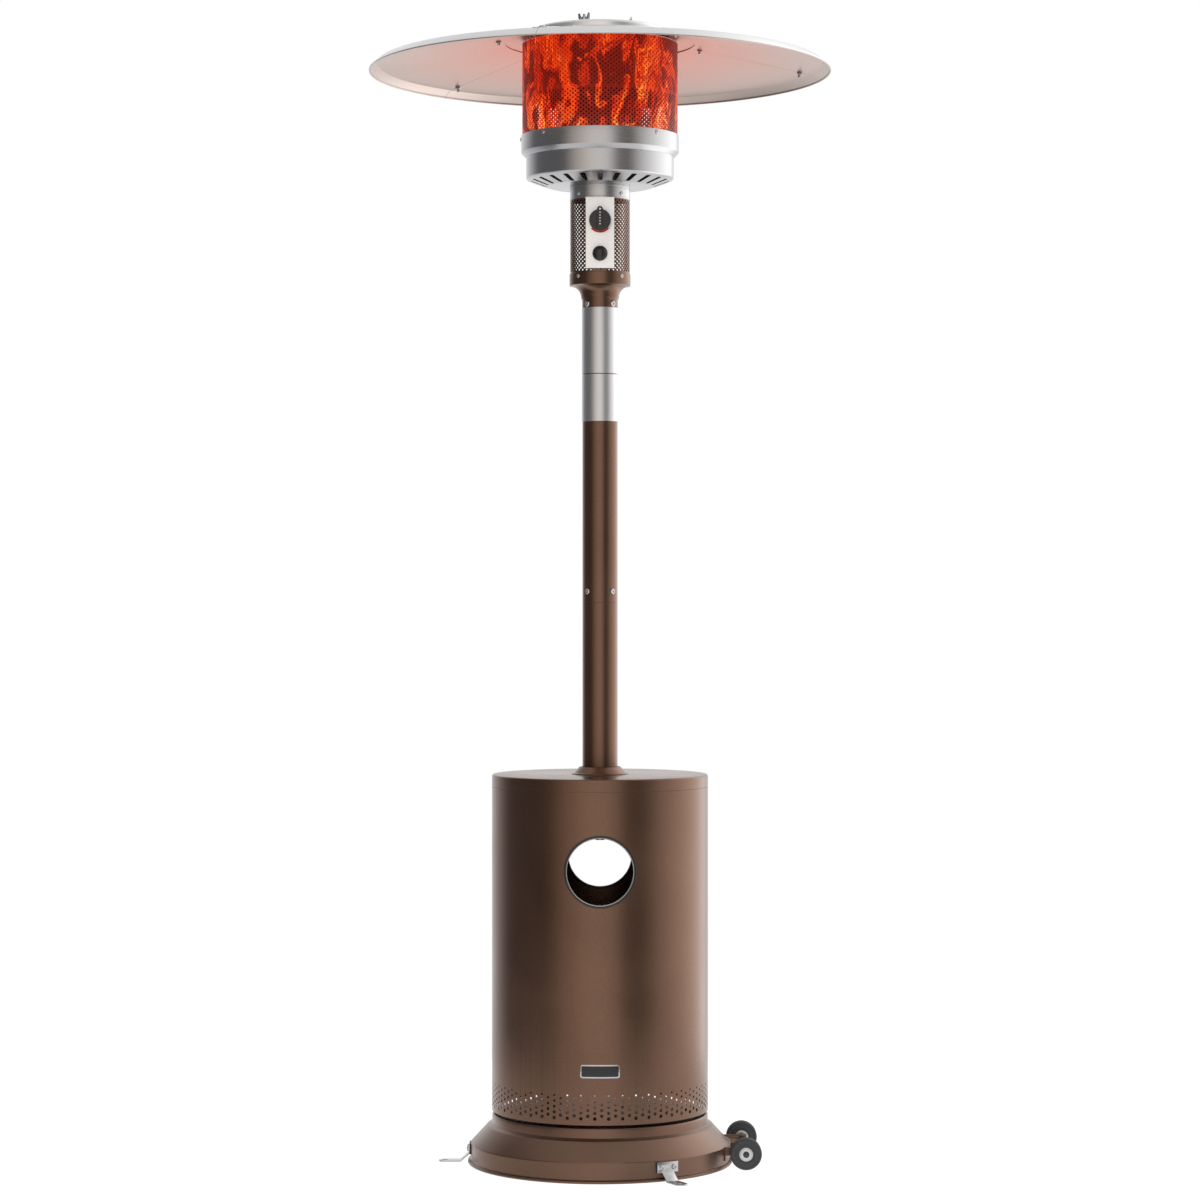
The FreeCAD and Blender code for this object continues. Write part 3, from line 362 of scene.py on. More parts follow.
SPECIAL_FINISHES = {
    "bronze_paint": bronze_paint,
    "stainless": lambda settings: brushed_steel("stainless", shade(settings.steel, 1.1), 0.24),
    "ribbed_sleeve": lambda settings: brushed_steel("ribbed_sleeve", shade(settings.steel, 1.45), 0.34, 2600.0,
                                                    SLEEVE_RIBS),
    "reflector_aluminium": reflector_metal,
    "iron": lambda settings: cast_iron(),
    "flame_wall": flame_wall,
    "hot_screen": hot_screen,
}
# Colour and roughness.
METALS = {
    "bright_steel": ((0.50, 0.50, 0.51), 0.2),
    "gas_pipe": ((0.62, 0.62, 0.62), 0.35),
    "brass": ((0.78, 0.56, 0.25), 0.3),
    "wheel_hub": ((0.58, 0.58, 0.58), 0.32),
    "rim_lining": ((0.36, 0.35, 0.34), 0.35),
}
# Colour, roughness, fineness and strength of the skin texture, and coat.
MOULDINGS = {
    "black_steel": ((0.035, 0.034, 0.033), 0.5, 500.0, 0.1),
    "rubber_pad": ((0.03, 0.03, 0.03), 0.8, 700.0, 0.15),
    "tyre_rubber": ((0.032, 0.033, 0.036), 0.62, 800.0, 0.2),
    "panel_paint": ((0.86, 0.855, 0.85), 0.38, 1200.0, 0.03, 0.2),
    "black_plastic": ((0.009, 0.009, 0.010), 0.3, 1500.0, 0.02),
    "plate_black": ((0.006, 0.006, 0.007), 0.4, 1500.0, 0.02),
    "print_white": ((0.80, 0.80, 0.79), 0.5, 1500.0, 0.02),
    "print_red": ((0.62, 0.02, 0.015), 0.45, 1500.0, 0.02),
}


# ---------------------------------------------------------------- mesh helpers


def new_object(name, mesh):
    piece = bpy.data.objects.new(name, mesh)
    bpy.context.scene.collection.objects.link(piece)
    return piece


def to_object(name, bm, sharp=35.0):
    """Ends a bmesh as an object with smooth faces and sharp edges where it turns hard."""
    mesh = bpy.data.meshes.new(name)
    bm.to_mesh(mesh)
    bm.free()
    smooth(mesh, sharp)
    return new_object(name, mesh)


def smooth(mesh, sharp=35.0):
    mesh.polygons.foreach_set("use_smooth", [True] * len(mesh.polygons))
    mesh.set_sharp_from_angle(angle=math.radians(sharp))
    mesh.update()


def rounded(points, steps=4):
    """A closed outline whose vertices (across, up, radius) get an arc of that radius."""
    path = []
    count = len(points)
    for index, point in enumerate(points):
        corner = Vector(point[:2])
        radius = point[2] if len(point) > 2 else 0.0
        if radius <= 0.0:
            path.append(corner)
            continue
        before = (Vector(points[index - 1][:2]) - corner).normalized()
        after = (Vector(points[(index + 1) % count][:2]) - corner).normalized()
        half = before.angle(after) / 2
        trim = radius / math.tan(half)
        centre = corner + (before + after).normalized() * (radius / math.sin(half))
        start = corner + before * trim - centre
        stop = corner + after * trim - centre
        sweep = start.angle_signed(stop)
        for step in range(steps + 1):
            path.append(centre + Matrix.Rotation(-sweep * step / steps, 2) @ start)
    return path


def revolve(bm, path, segments=ROUND, start=0.0, sweep=math.tau, closed=True, hex_radius=None):
    """Turns an outline of (radius, height) round Z. Points at hex_radius follow a hexagon."""
    whole = abs(sweep - math.tau) < 1e-9
    columns = segments if whole else segments + 1
    rings = []
    for point in path:
        ring = []
        for column in range(columns):
            angle = start + sweep * column / segments
            radius = point[0]
            if hex_radius and abs(point[0] - hex_radius) < 1e-7:
                radius *= math.cos(math.pi / 6) / math.cos(angle % (math.pi / 3) - math.pi / 6)
            if point[0] < 1e-9 and ring:
                ring.append(ring[0])
            else:
                ring.append(bm.verts.new((radius * math.cos(angle), radius * math.sin(angle), point[1])))
        rings.append(ring)
    pairs = len(path) if closed else len(path) - 1
    for index in range(pairs):
        low = rings[index]
        high = rings[(index + 1) % len(path)]
        for column in range(segments):
            following = (column + 1) % columns
            corners = [low[column], low[following], high[following], high[column]]
            corners = list(dict.fromkeys(corners))
            if len(corners) > 2:
                bm.faces.new(corners)
    if not whole:
        bm.faces.new([ring[0] for ring in rings])
        bm.faces.new([ring[-1] for ring in reversed(rings)])
    return rings


def lathe(name, points, segments=ROUND, steps=4, start=0.0, sweep=math.tau, hex_radius=None, sharp=35.0):
    bm = bmesh.new()
    revolve(bm, rounded(points, steps), segments, start, sweep, hex_radius=hex_radius)
    bmesh.ops.recalc_face_normals(bm, faces=bm.faces)
    return to_object(name, bm, sharp)


def slab(bm, outline, low, high):
    """A prism on the XY plane between two heights."""
    bottom = [bm.verts.new((p[0], p[1], low)) for p in outline]
    top = [bm.verts.new((p[0], p[1], high)) for p in outline]
    bm.faces.new(list(reversed(bottom)))
    bm.faces.new(top)
    for index, vertex in enumerate(bottom):
        following = (index + 1) % len(bottom)
        bm.faces.new([vertex, bottom[following], top[following], top[index]])


def moved(piece, matrix):
    piece.data.transform(matrix)
    piece.data.update()
    return piece


def turn(angle, axis="Z"):
    return Matrix.Rotation(angle, 4, axis)


def shift(x, y, z):
    return Matrix.Translation((x, y, z))


def baked(piece):
    """Turns the evaluated object into a plain mesh and drops its modifiers."""
    graph = bpy.context.evaluated_depsgraph_get()
    graph.update()
    mesh = bpy.data.meshes.new_from_object(piece.evaluated_get(graph))
    piece.modifiers.clear()
    piece.data = mesh
    return piece


def bevelled(piece, width, segments=2):
    bevel = piece.modifiers.new("edges", "BEVEL")
    bevel.width = width
    bevel.segments = segments
    bevel.limit_method = "ANGLE"
    bevel.angle_limit = math.radians(30.0)
    baked(piece)
    smooth(piece.data, 40.0)
    return piece


def thickened(piece, thickness):
    """Gives a sheet its wall, inwards from the faces' front."""
    solid = piece.modifiers.new("wall", "SOLIDIFY")
    solid.thickness = thickness
    solid.offset = -1.0
    solid.use_even_offset = False
    return baked(piece)


def from_frame(node, bevel=0.0004, segments=2):
    """A copy of a CAD node with merged faces and softened edges."""
    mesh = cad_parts[node].data.copy()
    bm = bmesh.new()
    bm.from_mesh(mesh)
    bmesh.ops.remove_doubles(bm, verts=bm.verts, dist=1e-6)
    bmesh.ops.dissolve_limit(bm, angle_limit=math.radians(1.0), verts=bm.verts, edges=bm.edges)
    piece = to_object(node + "_skin", bm)
    return bevelled(piece, bevel, segments) if bevel else piece


def joined(name, pieces):
    """One object of several, keeping their materials."""
    bm = bmesh.new()
    mesh = bpy.data.meshes.new(name)
    for piece in pieces:
        offset = len(mesh.materials)
        for material in piece.data.materials:
            mesh.materials.append(material)
        first = len(bm.faces)
        bm.from_mesh(piece.data)
        bm.faces.ensure_lookup_table()
        for face in bm.faces[first:]:
            face.material_index += offset
    for piece in pieces:
        bpy.data.objects.remove(piece)
    bm.to_mesh(mesh)
    bm.free()
    smooth(mesh, 40.0)
    return new_object(name, mesh)


def painted(item, material):
    item.data.materials.clear()
    item.data.materials.append(finish(material))


def fit(piece, body, slot, *nodes, material=None):
    """Paints a finished piece, sets what it rides on and hides the CAD nodes it stands in for."""
    painted(piece, material or slot)
    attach(piece, body)
    if nodes:
        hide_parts(*nodes)


def paint_nodes(**finishes):
    """Gives each CAD node that stays its finish."""
    for node, material in finishes.items():
        painted(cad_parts[node], material)


def fit_copies(bevel, slot, *nodes, material=None):
    """Softened copies of fixed CAD nodes, each in place of its node. The bevel is in metres."""
    for node in nodes:
        fit(from_frame(node, bevel=bevel), STAND, slot, node, material=material)


def radius_of(node):
    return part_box(node)[1][0]


def span_of(node):
    """Lowest and highest height of a CAD node."""
    low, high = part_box(node)
    return low[2], high[2]


def span_mm(node):
    return tuple(height / MM for height in span_of(node))


def radius_mm(node):
    return radius_of(node) / MM


# ---------------------------------------------------------------- geometry node trees


class Tree(Nodes):
    """A Geometry Nodes tree with named inputs, used as a modifier."""

    KINDS = {"i": "NodeSocketInt", "f": "NodeSocketFloat", "b": "NodeSocketBool", "m": "NodeSocketMaterial"}

    def __init__(self, name, **inputs):
        super().__init__(bpy.data.node_groups.new(name, "GeometryNodeTree"))
        self.tree.interface.new_socket("Geometry", in_out="INPUT", socket_type="NodeSocketGeometry")
        self.tree.interface.new_socket("Geometry", in_out="OUTPUT", socket_type="NodeSocketGeometry")
        for title, kind in inputs.items():
            self.tree.interface.new_socket(title, in_out="INPUT", socket_type=self.KINDS[kind])
        self.add("NodeGroupInput")
        self.entry = self.last

    def given(self, title):
        return Wire(self, self.entry.outputs[title])

    def geometry(self, kind, settings=None, **inputs):
        """The first output of a geometry node. Inputs are named in words joined by underscores."""
        return self.add("GeometryNode" + kind, settings, self.titled(inputs))[0]

    def extruded(self, **inputs):
        """The mesh with its chosen edges drawn out by nothing, and the selection of the new ones."""
        inputs = self.titled(inputs) | {"Offset Scale": 0.0}
        return self.add("GeometryNodeExtrudeMesh", {"mode": "EDGES"}, inputs)[:2]

    @staticmethod
    def titled(inputs):
        return {name.replace("_", " ").title(): value for name, value in inputs.items()}

    def end(self, geometry):
        """Realize Instances and Set Material close every tree."""
        whole = self.geometry("RealizeInstances", geometry=geometry)
        finished = self.geometry("SetMaterial", geometry=whole, material=self.given("Material"))
        self.add("NodeGroupOutput", None, {"Geometry": finished})
        return self.tree


def ring_tree():
    """Copies of the incoming shape, turned round Z at even steps."""
    t = Tree("ring_of_copies", Count="i", Start="f", Material="m")
    points = t.geometry("Points", count=t.given("Count"), position=t.combine(0.0, 0.0, 0.0))
    number = t.geometry("InputIndex")
    angle = number * math.tau / t.given("Count") + t.given("Start")
    return t.end(t.geometry("InstanceOnPoints", points=points, instance=t.given("Geometry"),
                            rotation=t.combine(0.0, 0.0, angle)))


def perforation_tree():
    """A round wall of staggered holes. Each hole sits in a diamond cell; the cells merge into one sheet,
    which is then drawn out to a plain strip above and below."""
    t = Tree("perforated_wall", Radius="f", Columns="i", Rows="i", Pitch="f", First="f", Sides="i",
             HoleLow="f", HoleHigh="f", LowEdge="f", HighEdge="f", ShortColumns="b", Material="m")
    seed = 1e-5
    columns, rows, pitch, first = (t.given(title) for title in ("Columns", "Rows", "Pitch", "First"))
    spacing = t.given("Radius") * math.tau / columns

    circle = t.geometry("MeshCircle", vertices=t.given("Sides"), radius=1.0)
    position = t.geometry("InputPosition")
    t.add("ShaderNodeSeparateXYZ", None, {"Vector": position})
    aside, upward = t.pick("X"), t.pick("Y")
    stored = {"data_type": "FLOAT_VECTOR", "domain": "POINT"}
    tile = t.geometry("StoreNamedAttribute", stored, geometry=circle, name="rim", value=position)
    tile, rim_edge = t.extruded(mesh=tile)
    total = aside.math("ABSOLUTE") + upward.math("ABSOLUTE")
    corner = t.combine(aside * spacing / total, upward * pitch * 0.5 / total, 0.0)
    tile = t.geometry("StoreNamedAttribute", stored, geometry=tile, selection=rim_edge, name="rim",
                      value=(0.0, 0.0, 0.0))
    inner = t.add("FunctionNodeBooleanMath", {"operation": "NOT"}, {0: rim_edge})[0]
    tile = t.geometry("SetPosition", geometry=tile, selection=rim_edge, position=corner)
    small = t.vector("SCALE", position, scale=seed)
    tile = t.geometry("SetPosition", geometry=tile, selection=inner, position=small)

    number = t.geometry("InputIndex")
    column = number % columns
    row = (number / columns).math("FLOOR")
    odd = column % 2.0
    place = t.combine(column * spacing, first + (row + odd * 0.5) * pitch, 0.0)
    points = t.geometry("Points", count=columns * rows, position=place)
    last = (row > rows - 1.5) * odd * t.given("ShortColumns")
    points = t.geometry("DeleteGeometry", {"domain": "POINT"}, geometry=points, selection=last)
    cells = t.geometry("InstanceOnPoints", points=points, instance=tile)
    cells = t.geometry("RealizeInstances", geometry=cells)

    t.add("ShaderNodeSeparateXYZ", None, {"Vector": position})
    across, up = t.pick("X"), t.pick("Y")
    rim = t.geometry("InputNamedAttribute", {"data_type": "FLOAT_VECTOR"}, name="rim")
    hole = t.map_range(up, first, first + rows * pitch, t.given("HoleLow"), t.given("HoleHigh")) - seed
    cells = t.geometry("SetPosition", geometry=cells, offset=t.vector("SCALE", rim, scale=hole))
    angle = across / t.given("Radius")
    wrapped = t.combine(angle.math("COSINE") * t.given("Radius"), angle.math("SINE") * t.given("Radius"), up)
    cells = t.geometry("SetPosition", geometry=cells, position=wrapped)
    cells = t.geometry("MergeByDistance", geometry=cells, distance=2e-5)

    t.add("ShaderNodeSeparateXYZ", None, {"Vector": position})
    x, y, height = t.pick("X"), t.pick("Y"), t.pick("Z")
    middle = first + rows * pitch * 0.5
    faces = t.geometry("InputMeshEdgeNeighbors")
    rim_length = t.add("ShaderNodeVectorMath", {"operation": "LENGTH"}, {0: rim})[1]
    border = (faces < 1.5) * (rim_length < 0.3)
    for limit, chosen in ((t.given("HighEdge"), height > middle), (t.given("LowEdge"), height < middle)):
        cells, fresh = t.extruded(mesh=cells, selection=border * chosen)
        cells = t.geometry("SetPosition", geometry=cells, selection=fresh, position=t.combine(x, y, limit))
    return t.end(cells)


def run_tree(piece, tree, **values):
    """Sets a tree's inputs by their identifiers, then turns the result into a plain mesh."""
    modifier = piece.modifiers.new(tree.name, "NODES")
    modifier.node_group = tree
    for item in tree.interface.items_tree:
        if item.item_type == "SOCKET" and item.in_out == "INPUT" and item.name in values:
            modifier[item.identifier] = values[item.name]
    return baked(piece)


def tree(name, make):
    return bpy.data.node_groups.get(name) or make()


def ring_of(piece, count, start=0.0, material="bright_steel"):
    run_tree(piece, tree("ring_of_copies", ring_tree), Count=count, Start=start, Material=finish(material))
    smooth(piece.data, 40.0)
    return piece


def perforated(name, radius, columns, rows, pitch, first, holes, edges, sides, material, short=False):
    """An open perforated sheet that faces outwards. holes and edges are (low, high)."""
    piece = new_object(name, bpy.data.meshes.new(name))
    run_tree(piece, tree("perforated_wall", perforation_tree), Radius=radius, Columns=columns, Rows=rows,
             Pitch=pitch, First=first, Sides=sides, HoleLow=holes[0], HoleHigh=holes[1], LowEdge=edges[0],
             HighEdge=edges[1], ShortColumns=short, Material=finish(material))
    return face_outwards(piece)


def face_outwards(piece, under=0.0, weld=None):
    """Turns every face of a round sheet away from the axis, and downwards by the share under."""
    bm = bmesh.new()
    bm.from_mesh(piece.data)
    if weld:
        bmesh.ops.remove_doubles(bm, verts=bm.verts, dist=weld)
    bm.normal_update()
    for face in bm.faces:
        centre = face.calc_center_median()
        down = under * face.normal.z * math.hypot(centre.x, centre.y)
        if face.normal.x * centre.x + face.normal.y * centre.y - down < 0.0:
            face.normal_flip()
    bm.to_mesh(piece.data)
    bm.free()
    return piece


# ---------------------------------------------------------------- shared parts


def mm(points):
    """An outline in millimetres as metres."""
    return [tuple(value * MM for value in point) for point in points]


def arc(centre, radius, start, stop, steps=10):
    """Points of an arc, angles in degrees."""
    angles = [math.radians(start + (stop - start) * step / steps) for step in range(steps + 1)]
    return [(centre[0] + radius * math.cos(a), centre[1] + radius * math.sin(a)) for a in angles]


def screw(name, head, height, shank, depth):
    """Pan-head screw on Z, seated at zero, with a hexagon recess. Sizes in metres."""
    recess = head * 0.46
    points = [(0.0, -depth), (shank, -depth), (shank, 0.0), (head, 0.0, height * 0.12),
              (head, height * 0.5, height * 0.35), (head * 0.74, height, height * 0.3),
              (recess, height), (recess, height * 0.4), (0.0, height * 0.34)]
    return lathe(name, points, 24, 3, hex_radius=recess)


def facing_out(piece, radius, height, offset=0.0):
    """Turns a screw made on Z to point along +X from a wall at that radius."""
    return moved(piece, shift(radius, offset, height) @ turn(QUARTER_TURN, "Y"))


def screw_ring(name, radius, height, head, rise, count):
    piece = facing_out(screw(name, head, rise, head * 0.42, 0.004), radius, height)
    return ring_of(piece, count, QUARTER_TURN / 2)


def sheet_cylinder(name, radius, length, axis_turn, place):
    """A plain closed cylinder for cutting holes."""
    points = [(0.0, -length / 2), (radius, -length / 2), (radius, length / 2), (0.0, length / 2)]
    return moved(lathe(name, points, 96), place @ axis_turn)


def prism(name, outline, low, high):
    bm = bmesh.new()
    slab(bm, outline, low, high)
    return to_object(name, bm)


def block(name, low, high):
    corners = [(low[0], low[1]), (high[0], low[1]), (high[0], high[1]), (low[0], high[1])]
    return prism(name, corners, low[2], high[2])


def cut_by(piece, cutter):
    """Takes the cutter's volume out of the piece."""
    rule = piece.modifiers.new("cut", "BOOLEAN")
    rule.operation = "DIFFERENCE"
    rule.solver = "EXACT"
    rule.object = cutter
    baked(piece)
    bpy.data.objects.remove(cutter)
    smooth(piece.data, 40.0)
    return piece


# ---------------------------------------------------------------- settings


class HeaterFinishes(bpy.types.PropertyGroup):
    """Colours and polish of the heater's finishes"""

    bronze: bpy.props.FloatVectorProperty(
        name="Bronze", description="Colour of the bronze powder coat", subtype="COLOR", size=4,
        min=0.0, max=1.0, default=(0.150, 0.085, 0.058, 1.0))
    bronze_roughness: bpy.props.FloatProperty(
        name="Bronze roughness", description="How dull the powder coat is", min=0.0, max=1.0, default=0.25)
    steel: bpy.props.FloatVectorProperty(
        name="Steel", description="Colour of the stainless parts", subtype="COLOR", size=4,
        min=0.0, max=1.0, default=(0.40, 0.40, 0.41, 1.0))
    # How strongly the flames' red glow is painted on the reflector's underside near its centre, a painted
    # reflection.
    painted_glow_tint: bpy.props.FloatProperty(
        name="Painted glow tint", description="Warm tint of the reflector near its centre", min=0.0, max=1.0,
        default=0.85)
    flame_strength: bpy.props.FloatProperty(
        name="Flame strength", description="Brightness of the flames", min=0.0, default=0.35)
    screen_strength: bpy.props.FloatProperty(
        name="Screen strength", description="Brightness of the glowing outer screen", min=0.0, default=1.0)


class HeaterSheet(bpy.types.PropertyGroup):
    """Hole patterns of the heater's sheet metal"""

    vent_columns: bpy.props.IntProperty(
        name="Vent columns", description="Columns of vents round the housing, an even number", min=4,
        default=100)
    vent_rows: bpy.props.IntProperty(
        name="Vent rows", description="Vents in a full column", min=2, default=5)
    vent_pitch: bpy.props.FloatProperty(
        name="Vent pitch", description="Height from vent to vent", unit="LENGTH", default=9.7 * MM)
    vent_first: bpy.props.FloatProperty(
        name="First vent", description="Height of the lowest vents", unit="LENGTH",
        default=span_of("housing_shell")[0] + 11.4 * MM)
    vent_low: bpy.props.FloatProperty(
        name="Lowest vent radius", description="Radius of the largest vents", unit="LENGTH", default=3.2 * MM)
    vent_high: bpy.props.FloatProperty(
        name="Highest vent radius", description="Radius of the smallest vents", unit="LENGTH", default=1.4 * MM)
    guard_columns: bpy.props.IntProperty(
        name="Guard columns", description="Columns of holes round the guard, an even number", min=4, default=80)
    guard_pitch: bpy.props.FloatProperty(
        name="Guard pitch", description="Height from hole to hole in the guard", unit="LENGTH",
        default=7.4 * MM)
    guard_hole: bpy.props.FloatProperty(
        name="Guard hole radius", description="Radius of the guard's holes", unit="LENGTH", default=2.3 * MM)
    screen_columns: bpy.props.IntProperty(
        name="Screen columns", description="Columns of holes round the emitter, an even number", min=4,
        default=180)
    screen_pitch: bpy.props.FloatProperty(
        name="Screen pitch", description="Height from hole to hole in the emitter", unit="LENGTH",
        default=7.3 * MM)
    screen_hole: bpy.props.FloatProperty(
        name="Screen hole radius", description="Radius of the emitter's holes", unit="LENGTH", default=1.6 * MM)
    louvres: bpy.props.IntProperty(
        name="Louvres", description="Slots round the burner bowl", min=3, default=24)


class HeaterStage(bpy.types.PropertyGroup):
    """Camera and light"""

    camera_distance: bpy.props.FloatProperty(
        name="Camera distance", description="From the camera to the pole", unit="LENGTH", default=5.755)
    camera_height: bpy.props.FloatProperty(
        name="Camera height", description="Height of the level camera", unit="LENGTH", default=0.992)
    focal_length: bpy.props.FloatProperty(
        name="Focal length", description="Lens on a 36 mm sensor, in millimetres", default=97.62)
    backdrop: bpy.props.FloatProperty(
        name="Backdrop", description="Brightness of the white backdrop", min=0.0, default=1.05)
    studio: bpy.props.FloatProperty(
        name="Studio", description="Brightness of the soft boxes of the studio", min=0.0, default=2.4)
    overhead: bpy.props.FloatProperty(
        name="Overhead", description="Brightness of the studio's ceiling", min=0.0, default=0.9)
    fill_power: bpy.props.FloatProperty(
        name="Fill power", description="Large soft light near the camera", unit="POWER", default=85.0)


# ---------------------------------------------------------------- base


class HEATER_OT_base(bpy.types.Operator):
    """Base pan, its weight, the anchor brackets and their pads and bolts"""

    bl_idname = "heater.base"
    bl_label = "Base"

    def execute(self, context):
        self.pan()
        paint_nodes(base_weight="iron", base_bolts="bright_steel")
        fit_copies(0.5 * MM, "bright_steel", *(f"anchor_bracket_{side}" for side in ANCHORS))
        fit_copies(0.3 * MM, "rubber_pad", "anchor_pads")
        self.bolts()
        return {"FINISHED"}

    def pan(self):
        """Rolled lip, upright band, slope, step and deck, pressed from one sheet."""
        top = span_mm("base_pan")[1]
        lip = radius_mm("base_pan")
        band, slope, ring = lip - 5.5, lip - 34.5, lip - 43.0
        points = mm([
            (lip - 7.5, 0, 1.0), (lip, 0, 1.9), (lip, 4.2, 1.9), (band, 6, 1.2), (band, 35, 3.0),
            (slope, 66.5, 3.0), (ring, 71, 0.8), (ring, top, 4.0), (0, top), (0, top - 2),
            (ring - 2, top - 2, 2.0), (ring - 2, 70, 0.6), (slope - 2, 65.5, 1.2), (band - 2, 34, 1.5)])
        fit(lathe("base_pan_skin", points, ROUND + 32), STAND, "bronze_paint", "base_pan")

    def bolts(self):
        """Two pan-head bolts on each bracket plate."""
        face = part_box("anchor_bolts")[0][0]
        rise = 3.0 * MM
        middle = sum(span_of("anchor_bolts")) / 2
        pieces = []
        for side in (-1, 1):
            piece = screw(f"anchor_bolt_{side}", 4.5 * MM, rise, 2.4 * MM, 11 * MM)
            facing_out(piece, -face - rise, middle, side * 12.5 * MM)
            pieces.append(ring_of(piece, len(ANCHORS), ANCHORS["front"]))
        fit(joined("anchor_bolt_heads", pieces), STAND, "bright_steel", "anchor_bolts")


class HEATER_OT_wheels(bpy.types.Operator):
    """Wheel bracket, axle, clips, tyres and hubs"""

    bl_idname = "heater.wheels"
    bl_label = "Wheels"
    WIDTH = 22

    def execute(self, context):
        fit_copies(0.6 * MM, "bronze_paint", "wheel_bracket")
        low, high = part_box("wheel_axle")
        centre = ((low[0] + high[0]) / 2, (low[2] + high[2]) / 2)
        reach = high[1]
        axle = lathe("axle_rod", [(0, -reach), (3.5 * MM, -reach, 0.9 * MM), (3.5 * MM, reach, 0.9 * MM),
                                  (0, reach)], 32)
        moved(axle, shift(centre[0], 0.0, centre[1]) @ turn(QUARTER_TURN, "X"))
        fit(axle, STAND, "bright_steel", "wheel_axle", material="black_steel")
        fit_copies(0.2 * MM, "bright_steel", "axle_clips", material="black_steel")
        for side in ("front", "back"):
            place = shift(centre[0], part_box(f"wheel_tyre_{side}")[0][1], centre[1]) @ turn(-QUARTER_TURN, "X")
            body = f"wheel_{side}"
            fit(moved(self.tyre(side), place), body, "tyre_rubber", f"wheel_tyre_{side}")
            fit(moved(self.hub(side), place), body, "wheel_hub", f"wheel_hub_{side}")
        return {"FINISHED"}

    def tyre(self, side):
        """Solid rubber with shallow grooves in the tread and a raised bead on each side."""
        half = [(12, 1.2), (14.6, 1.2, 0.4), (15.6, 0.2, 0.4), (17.4, 0.2, 0.4), (18.4, 0.9, 0.4),
                (23.2, 0.9, 0.6), (24.2, 0.0, 0.6), (27.5, 1.8, 2.4)]
        grooves = []
        for middle in (6.6, 11.0, 15.4):
            grooves += [(27.5, middle - 0.8, 0.2), (26.5, middle - 0.4), (26.5, middle + 0.4),
                        (27.5, middle + 0.8, 0.2)]
        return lathe(f"tyre_{side}", mm(half + grooves + self.mirrored(half)), 96, 3)

    def mirrored(self, outline):
        """The wheel's far side: the outline of the near side, mirrored over its width."""
        return [(point[0], self.WIDTH - point[1]) + tuple(point[2:]) for point in reversed(outline)]

    def hub(self, side):
        """Bright disc with a groove round its edge and a bore for the axle."""
        half = [(3.55, 0.5), (4.2, 0.5, 0.3), (4.6, 0.0, 0.3), (9.6, 0.0, 0.4), (10.2, 0.9, 0.4),
                (12, 0.9, 0.6)]
        return lathe(f"hub_{side}", mm(half + self.mirrored(half)), 64, 3)


# ---------------------------------------------------------------- legs and pole


class HEATER_OT_legs(bpy.types.Operator):
    """The three strips inside the housing and the socket plate on top of them"""

    bl_idname = "heater.legs"
    bl_label = "Legs and socket"

    def execute(self, context):
        fit_copies(0.8 * MM, "black_steel", *(f"support_leg_{number}" for number in (1, 2, 3)))
        fit_copies(0.5 * MM, "black_steel", "pole_socket")
        return {"FINISHED"}


class HEATER_OT_pole(bpy.types.Operator):
    """Pole tubes, coupling, screws and the two stainless sleeves"""

    bl_idname = "heater.pole"
    bl_label = "Pole"

    def execute(self, context):
        for node in ("pole_lower", "pole_upper"):
            fit(self.tube(node, 1.5 * MM, 0.5 * MM), STAND, "bronze_paint", node)
        for node in ("steel_sleeve_lower", "steel_sleeve_upper"):
            fit(self.tube(node, 0.9 * MM, 0.3 * MM), STAND, "stainless", node, material="ribbed_sleeve")
        paint_nodes(pole_coupling="black_steel")
        middle = sum(span_of("pole_screws")) / 2
        wall = radius_of("pole_lower")
        screws = screw_ring("pole_screw_heads", wall - 0.3 * MM, middle, 5 * MM, 2.7 * MM, 4)
        fit(screws, STAND, "bright_steel", "pole_screws")
        return {"FINISHED"}

    def tube(self, node, wall, ease):
        """A tube with its ends eased, so that each joint shows as a fine line."""
        low, high = span_of(node)
        outer = radius_of(node)
        points = [(outer - wall, low), (outer, low, ease), (outer, high, ease), (outer - wall, high)]
        return lathe(node + "_tube", points, 96)


# ---------------------------------------------------------------- housing and table


